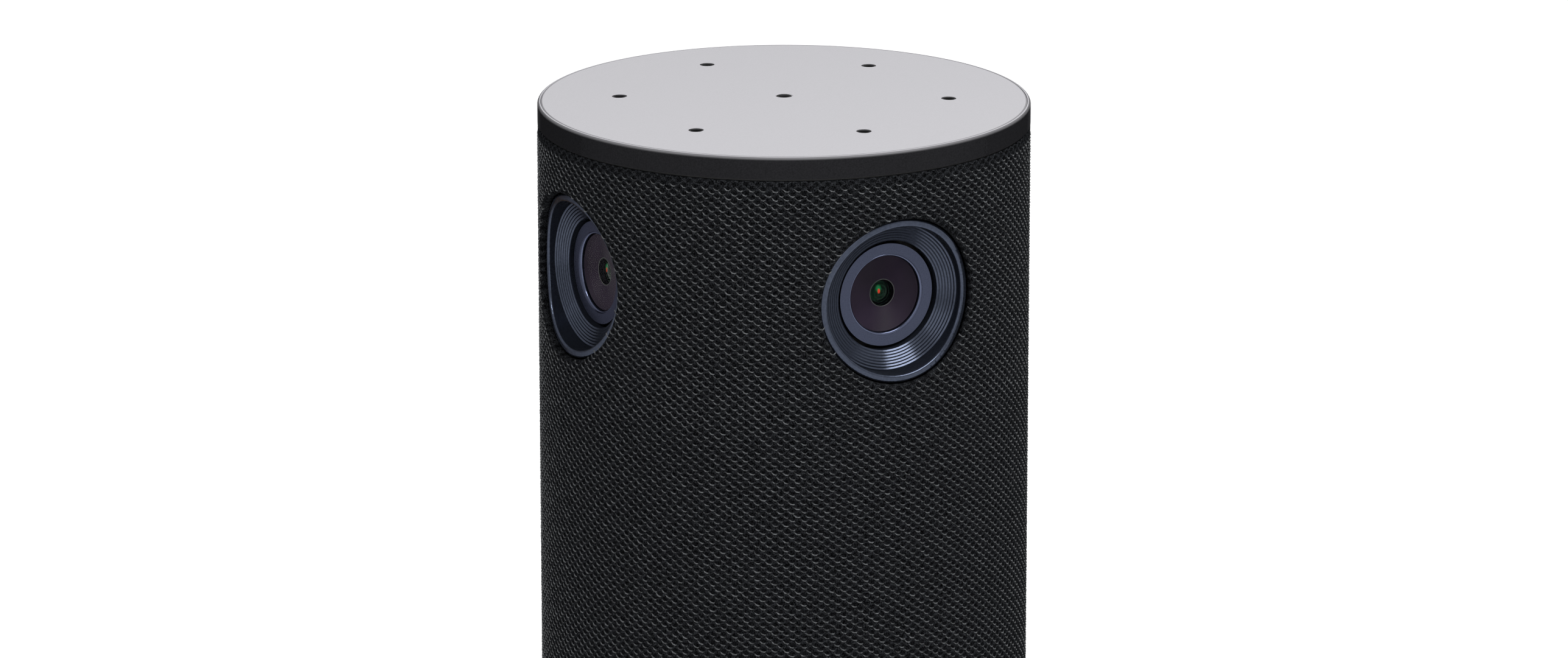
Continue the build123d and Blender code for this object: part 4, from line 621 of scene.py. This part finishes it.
def loop_tree(material):
    """Geometry Nodes that lay rows of yarn loops on one quarter of the sleeve, clear of its lens hole."""
    tree = bpy.data.node_groups.new("yarn_loops", "GeometryNodeTree")
    counts = ("Columns", "Rows", "Seed")
    measures = ("Radius", "First Height", "Row Pitch", "Start Angle", "Column Angle")
    measures += ("Lens Angle", "Lens Height", "Hole Radius", "Yarn Radius")
    for labels, kind in ((counts, "NodeSocketInt"), (measures, "NodeSocketFloat")):
        for label in labels:
            tree.interface.new_socket(name=label, in_out="INPUT", socket_type=kind)
    tree.interface.new_socket(name="Geometry", in_out="OUTPUT", socket_type="NodeSocketGeometry")
    given = add_node(tree, "NodeGroupInput").outputs
    # What chance adds to each loop: steps along its row, rows up, radians of tilt, and share of its size
    chances = []
    for number, most in enumerate((0.05, 0.1, 0.14, 0.14), 1):
        seed = add_node(tree, "ShaderNodeMath", (given["Seed"], number), operation="ADD")
        limits = {2: -most, 3: most, "Seed": seed}
        chances.append(add_node(tree, "FunctionNodeRandomValue", limits, data_type="FLOAT"))
    along, rise, lean, growth = chances
    # Odd rows stand half a step along
    index = add_node(tree, "GeometryNodeInputIndex")
    column = add_node(tree, "ShaderNodeMath", (index, given["Columns"]), operation="MODULO")
    passed = add_node(tree, "ShaderNodeMath", (index, given["Columns"]), operation="DIVIDE")
    row = add_node(tree, "ShaderNodeMath", (passed,), operation="FLOOR")
    odd = add_node(tree, "ShaderNodeMath", (row, 2.0), operation="MODULO")
    shifted = add_node(tree, "ShaderNodeMath", (odd, 0.5, column), operation="MULTIPLY_ADD")
    step = add_node(tree, "ShaderNodeMath", (shifted, along), operation="ADD")
    turning = (step, given["Column Angle"], given["Start Angle"])
    turn = add_node(tree, "ShaderNodeMath", turning, operation="MULTIPLY_ADD")
    level = add_node(tree, "ShaderNodeMath", (row, rise), operation="ADD")
    climbing = (level, given["Row Pitch"], given["First Height"])
    height = add_node(tree, "ShaderNodeMath", climbing, operation="MULTIPLY_ADD")
    start = add_node(tree, "ShaderNodeCombineXYZ", {"X": given["Radius"], "Z": height})
    around = {"Vector": start, "Angle": turn}
    spot = add_node(tree, "ShaderNodeVectorRotate", around, rotation_type="Z_AXIS")
    count = add_node(tree, "ShaderNodeMath", (given["Columns"], given["Rows"]), operation="MULTIPLY")
    points = add_node(tree, "GeometryNodePoints", {"Count": count, "Position": spot})
    # How far each point is from the lens axis
    lens = add_node(tree, "ShaderNodeCombineXYZ", {"Z": given["Lens Height"]})
    back = {"Vector": spot, "Angle": given["Lens Angle"]}
    faced = add_node(tree, "ShaderNodeVectorRotate", back, rotation_type="Z_AXIS", invert=True)
    offset = add_node(tree, "ShaderNodeVectorMath", (faced, lens), operation="SUBTRACT")
    flat = add_node(tree, "ShaderNodeVectorMath", (offset, (0, 1, 1)), operation="MULTIPLY")
    reach = add_node(tree, "ShaderNodeVectorMath", (flat,), operation="LENGTH")
    clear = add_node(tree, "ShaderNodeMath", (reach, given["Hole Radius"]), operation="GREATER_THAN")
    # One loop: it comes up through the ground, bows outward and goes back in
    bow = {
        "Resolution": 3,
        "Start": (-0.98 * MM, 0.68 * MM, -0.18 * MM),
        "Middle": (-0.02 * MM, -0.84 * MM, 0.28 * MM),
        "End": (0.72 * MM, 0.3 * MM, -0.24 * MM),
    }
    path = add_node(tree, "GeometryNodeCurveQuadraticBezier", bow)
    yarn = {"Resolution": 3, "Radius": given["Yarn Radius"]}
    section = add_node(tree, "GeometryNodeCurvePrimitiveCircle", yarn, mode="RADIUS")
    # The three-sided section turns a ridge outward
    turned = {"Geometry": section, "Rotation": (0, 0, math.pi)}
    ridged = add_node(tree, "GeometryNodeTransform", turned)
    skin = {"Curve": path, "Profile Curve": ridged, "Fill Caps": True}
    loop = add_node(tree, "GeometryNodeCurveToMesh", skin)
    # Each loop stands on its point, faces outward and leans a little to one side
    heading = add_node(tree, "ShaderNodeMath", (turn, math.pi / 2), operation="ADD")
    upright = add_node(tree, "ShaderNodeCombineXYZ", {"X": math.pi / 2, "Z": heading})
    facing = add_node(tree, "FunctionNodeEulerToRotation", (upright,))
    sideways = add_node(tree, "ShaderNodeCombineXYZ", {"Z": lean})
    tilt = add_node(tree, "FunctionNodeEulerToRotation", (sideways,))
    rotation = add_node(tree, "FunctionNodeRotateRotation", (facing, tilt), rotation_space="LOCAL")
    size = add_node(tree, "ShaderNodeMath", (1.0, growth), operation="ADD")
    laying = {"Points": points, "Selection": clear, "Instance": loop, "Rotation": rotation, "Scale": size}
    laid = add_node(tree, "GeometryNodeInstanceOnPoints", laying)
    real = add_node(tree, "GeometryNodeRealizeInstances", {"Geometry": laid})
    smooth = add_node(tree, "GeometryNodeSetShadeSmooth", {"Geometry": real})
    finish = add_node(tree, "GeometryNodeSetMaterial", {"Geometry": smooth, "Material": material})
    add_node(tree, "NodeGroupOutput", {"Geometry": finish})
    return tree


def made_by_nodes(name, tree, values):
    """Runs a node tree with its named inputs and returns the result as a plain mesh piece."""
    piece = bpy.data.objects.new(name, bpy.data.meshes.new("blank"))
    bpy.context.scene.collection.objects.link(piece)
    modifier = piece.modifiers.new("made", "NODES")
    modifier.node_group = tree
    inputs = [item for item in tree.interface.items_tree if item.in_out == "INPUT"]
    names = {item.name: item.identifier for item in inputs}
    for label, value in values.items():
        modifier[names[label]] = value
    graph = bpy.context.evaluated_depsgraph_get()
    mesh = bpy.data.meshes.new_from_object(piece.evaluated_get(graph))
    piece.modifiers.remove(modifier)
    piece.data = mesh
    mesh.name = name
    return piece


class DressInside(bpy.types.Operator):
    """Give every inner piece of the tower its finish"""

    bl_idname = "tower.dress_inside"
    bl_label = "Inner pieces"

    def execute(self, context):
        for slot, (name, metallic, codes, roughness, grain, relief) in INNER_FINISHES.items():
            material, tree, shader = new_finish(name, Metallic=metallic)
            mottle(tree, shader, [linear(code) for code in codes], grain, roughness, relief)
            parts = [part for part in frame["record"]["subparts"] if part["material_slot"] == slot]
            dress([part["node"] for part in parts], material)
        return {"FINISHED"}


class DressTop(bpy.types.Operator):
    """Give the top disc its anodised finish and line its microphone holes with painted shade, with mesh at
    their bottom
    """

    bl_idname = "tower.dress_top"
    bl_label = "Top disc"

    def execute(self, context):
        disc_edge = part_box("top_plate")[1].x
        edge_width = 0.35 * MM
        dress(["top_plate"], anodised_disc(context.scene.tower_colours.disc, disc_edge - edge_width))
        sizes = context.scene.tower_sizes
        places = [Vector((0, 0, 0))]
        for step in range(6):
            turn = math.radians(30 + 60 * step)
            places.append(Vector((math.cos(turn), math.sin(turn), 0)) * sizes.microphone_circle)
        black = acoustic_mesh()
        liners = self.make_shade_liners(places, black)
        mesh = self.make_mesh(places, sizes.microphone_mesh, black)
        for piece in (mesh, liners):
            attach(piece, "root")
        return {"FINISHED"}

    def make_mesh(self, places, radius, material):
        """Mesh discs that lie on the microphone board, inside the gasket's collars."""
        gap, thickness = 0.04 * MM, 0.06 * MM
        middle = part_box("mic_gasket")[0].z + gap + thickness / 2
        bm = bmesh.new()
        for place in places:
            bmesh.ops.create_cone(
                bm,
                cap_ends=True,
                segments=24,
                radius1=radius,
                radius2=radius,
                depth=thickness,
                matrix=Matrix.Translation(place + Vector((0, 0, middle))),
            )
        return link_piece(bm, "microphone_mesh", material)

    def make_shade_liners(self, places, material):
        """Black rings on the gasket's collars, painted shade that lines each hole up to the disc's face."""
        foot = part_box("mic_gasket")[1].z + SKIN_GAP
        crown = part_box("top_plate")[1].z
        bm = bmesh.new()
        for place in places:
            # The disc's crown falls 0.37 mm from its middle to the outer holes
            head = crown - (0.42 if place.length else 0.03) * MM
            outline = (
                (LINER_INNER, foot),
                (LINER_OUTER, foot),
                (LINER_OUTER, head),
                (LINER_INNER, head - 0.1 * MM),
            )
            add_ring(bm, outline, lambda x, y, height: place + Vector((x, y, height)), segments=32)
        return link_piece(bm, "microphone_shade_liners", material)


class DressBands(bpy.types.Operator):
    """Give the rim, the base and the buttons their finishes"""

    bl_idname = "tower.dress_bands"
    bl_label = "Rim, base and buttons"

    def execute(self, context):
        colours = context.scene.tower_colours
        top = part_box("top_rim")[1].z
        # The recess in the rim is a little wider than the disc
        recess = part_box("top_plate")[1].x + 0.25 * MM
        dress(["top_rim"], edged_rim(colours.band, colours.disc, top, recess))
        dress(["base_housing"], moulded_band(colours.band))
        dress([f"{key}_button" for key in BUTTONS], soft_button(colours.band))
        return {"FINISHED"}


class MakeSleeve(bpy.types.Operator):
    """Make the woven sleeve with its rolled edges and its raised yarn loops"""

    bl_idname = "tower.make_sleeve"
    bl_label = "Woven sleeve"

    def execute(self, context):
        sizes, colours = context.scene.tower_sizes, context.scene.tower_colours
        first_row, last_row = SLEEVE_LOW.z + 0.9 * MM, SLEEVE_HIGH.z - 0.8 * MM
        # The pits of the ground lie above the loops' middles
        first_pit = first_row + 0.45 * MM
        weave = woven_ground(colours.cloth, sizes.weave_columns, sizes.weave_pitch, first_pit)
        ground = cloth_ground(sizes, weave)
        wall = ground.modifiers.new("thickness", "SOLIDIFY")
        wall.thickness = sizes.cloth_thickness
        wall.offset = -1
        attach(ground, "root")
        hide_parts("fabric_sleeve")
        tree = loop_tree(spun_yarn(colours.yarn))
        for number, (side, angle) in enumerate(SIDES.items()):
            values = {
                "Columns": sizes.weave_columns // 4,
                "Rows": int((last_row - first_row) / sizes.weave_pitch),
                "Radius": sizes.cloth_radius,
                "First Height": first_row,
                "Row Pitch": sizes.weave_pitch,
                "Start Angle": angle - math.pi / 4,
                "Column Angle": 2 * math.pi / sizes.weave_columns,
                "Lens Angle": angle,
                "Lens Height": LENS_HEIGHT,
                "Hole Radius": BEZEL_RADIUS + 0.75 * MM,
                "Yarn Radius": sizes.yarn_radius,
                "Seed": 10 * number,
            }
            piece = made_by_nodes(f"fabric_loops_{side}", tree, values)
            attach(piece, "root")
        return {"FINISHED"}


class DressLenses(bpy.types.Operator):
    """Give the lens modules their finishes and make what shows behind their glass"""

    bl_idname = "tower.dress_lenses"
    bl_label = "Lens modules"

    def execute(self, context):
        sizes, colours = context.scene.tower_sizes, context.scene.tower_colours
        pupil, cone_outer = sizes.pupil_radius, BEZEL_RADIUS - sizes.surround_wall
        finishes = {
            "lens_bezel": moulded_surround(colours.surround, cone_outer, sizes.cone_inner, sizes.cone_steps),
            "lens_barrel": machined_barrel(colours.barrel),
            "cover_glass": coated_glass(),
            "front_element": coated_element(),
        }
        for kind, material in finishes.items():
            dress([f"{kind}_{side}" for side in SIDES], material)
        rings = (
            ("lens_mask", self.mask_outline(pupil), printed_mask(colours.mask), "cover_glass"),
            ("pupil_edge", self.edge_outline(pupil), pupil_edge(), "cover_glass"),
            ("ring_bevel", self.bevel_outline(), polished_bevel_highlight(colours.barrel), "barrel_metal"),
        )
        # Painted reflections of the lens groups, on a skin over each front element
        painted_reflections = inner_reflections()
        for side in SIDES:
            for name, outline, material, slot in rings:
                ring = turned_ring(f"{name}_{side}", side, outline, material)
                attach(ring, "root")
            # The skin reaches in behind the mask all round
            dome = dome_skin(f"painted_lens_reflections_{side}", side, pupil + 0.6 * MM, painted_reflections)
            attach(dome, "root")
        return {"FINISHED"}

    def mask_outline(self, pupil):
        """Section of the print, which covers the back of the glass and folds up round its edge."""
        back, ink, window = GLASS_BACK + PRINT_GAP, 0.05 * MM, pupil + 0.14 * MM
        outer, front = GLASS_RADIUS - PRINT_GAP, GLASS_FACE - PRINT_GAP
        inner = outer - ink
        return (
            (window, back),
            (window, back + ink),
            (inner, back + ink),
            (inner, front),
            (outer, front),
            (outer, back),
        )

    def edge_outline(self, pupil):
        """Section of the pale line along the opening in the print."""
        back, outer = GLASS_BACK + PRINT_GAP, pupil + 0.13 * MM
        return ((pupil, back), (pupil, back + 0.05 * MM), (outer, back + 0.07 * MM), (outer, back))

    def bevel_outline(self):
        """Section of the bevel down to the glass, which breaks the ring's inner edge."""
        inner = GLASS_RADIUS + SKIN_GAP
        return (
            (RING_INNER - PRINT_GAP, RING_FACE - SKIN_GAP),
            (inner, RING_FACE - 0.52 * MM),
            (inner, GLASS_FACE + 0.06 * MM),
            (inner + 0.05 * MM, GLASS_FACE + 0.08 * MM),
        )


class MakeStage(bpy.types.Operator):
    """Make the pale floor, the white surroundings, the soft lights and the camera"""

    bl_idname = "tower.make_stage"
    bl_label = "Studio"

    def execute(self, context):
        scene, sizes = context.scene, context.scene.tower_sizes
        scene.view_settings.view_transform = "Standard"
        self.make_floor(sizes.floor_reach)
        self.make_surroundings(scene)
        azimuth, elevation = math.radians(-28.4), math.radians(15.145)
        flat = Vector((math.sin(azimuth), -math.cos(azimuth), 0))
        right = Vector((math.cos(azimuth), math.sin(azimuth), 0))
        aim = Vector((0, 0, sizes.camera_aim))
        toward = flat * math.cos(elevation) + Vector((0, 0, math.sin(elevation)))
        self.make_camera(scene, sizes, aim, toward)
        # Each lamp: name, metres to the right, up and towards the camera, width, and power in watts
        lamps = (
            ("key_light", 0.6, 1.0, 0.42, 0.7, 13.0),
            ("high_light", -0.8, 0.85, 0.45, 0.25, 5.0),
            ("fill_light", 0.1, 0.4, 1.3, 1.0, 3.0),
        )
        for name, across, up, forward, width, power in lamps:
            place = aim + right * across + Vector((0, 0, up)) + flat * forward
            self.make_lamp(scene, name, place, aim, width, power)
        return {"FINISHED"}

    def make_floor(self, reach):
        bm = bmesh.new()
        bmesh.ops.create_grid(bm, x_segments=8, y_segments=8, size=reach)
        # Painted board: plain white, lifted for the camera and for reflections, so that it keeps the shadow
        material, tree, shader = new_finish(
            "painted_board_white",
            Base_Color=linear("#e6e6e6"),
            Roughness=0.9,
            Specular_IOR_Level=0.0,
            Emission_Color=(1, 1, 1, 1),
        )
        lift = add_node(tree, "ShaderNodeMath", (seen_directly(tree), 0.75), operation="MULTIPLY")
        give(tree, shader, {"Emission Strength": lift})
        link_piece(bm, "studio_floor", material)

    def make_surroundings(self, scene):
        world = bpy.data.worlds.new("studio_surroundings")
        world.use_nodes = True
        scene.world = world
        tree = world.node_tree
        tree.nodes.clear()
        # Surfaces are lit by a dimmer white than the one that the camera and reflections see
        whites = {"Value": seen_directly(tree), "To Min": 0.3, "To Max": 1.0}
        level = add_node(tree, "ShaderNodeMapRange", whites)
        light = add_node(tree, "ShaderNodeBackground", {"Color": (1, 1, 1, 1), "Strength": level})
        add_node(tree, "ShaderNodeOutputWorld", {"Surface": light})

    def make_camera(self, scene, sizes, aim, toward):
        data = bpy.data.cameras.new("photo_camera")
        data.lens = sizes.focal_length
        data.sensor_width = 36
        data.clip_end = 60
        camera = bpy.data.objects.new("photo_camera", data)
        scene.collection.objects.link(camera)
        camera.location = aim + toward * sizes.camera_distance
        camera.rotation_mode = "QUATERNION"
        camera.rotation_quaternion = (-toward).to_track_quat("-Z", "Y")
        scene.camera = camera

    def make_lamp(self, scene, name, place, aim, width, power):
        data = bpy.data.lights.new(name, "AREA")
        data.shape = "DISK"
        data.size = width
        data.energy = power
        lamp = bpy.data.objects.new(name, data)
        scene.collection.objects.link(lamp)
        lamp.location = place
        lamp.rotation_mode = "QUATERNION"
        lamp.rotation_quaternion = (aim - place).to_track_quat("-Z", "Y")


OPERATORS = (MakeStage, DressInside, DressTop, DressBands, MakeSleeve, DressLenses)


class TowerPanel(bpy.types.Panel):
    """Lists the steps that dress the tower, with their sizes and colours"""

    bl_idname = "VIEW3D_PT_tower"
    bl_label = "Camera tower"
    bl_space_type = "VIEW_3D"
    bl_region_type = "UI"
    bl_category = "Tower"

    def draw(self, context):
        layout = self.layout
        for group in (context.scene.tower_sizes, context.scene.tower_colours):
            box = layout.box()
            for name in group.__annotations__:
                box.prop(group, name)
        for operator in OPERATORS:
            layout.operator(operator.bl_idname)


CLASSES = (TowerSizes, TowerColours, *OPERATORS, TowerPanel)


def register():
    for item in CLASSES:
        bpy.utils.register_class(item)
    bpy.types.Scene.tower_sizes = bpy.props.PointerProperty(type=TowerSizes)
    bpy.types.Scene.tower_colours = bpy.props.PointerProperty(type=TowerColours)


def unregister():
    del bpy.types.Scene.tower_colours
    del bpy.types.Scene.tower_sizes
    for item in reversed(CLASSES):
        bpy.utils.unregister_class(item)


def main():
    """Registers the add-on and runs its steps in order."""
    register()
    for operator in OPERATORS:
        group, name = operator.bl_idname.split(".")
        getattr(getattr(bpy.ops, group), name)()


if __name__ == "__main__":
    main()
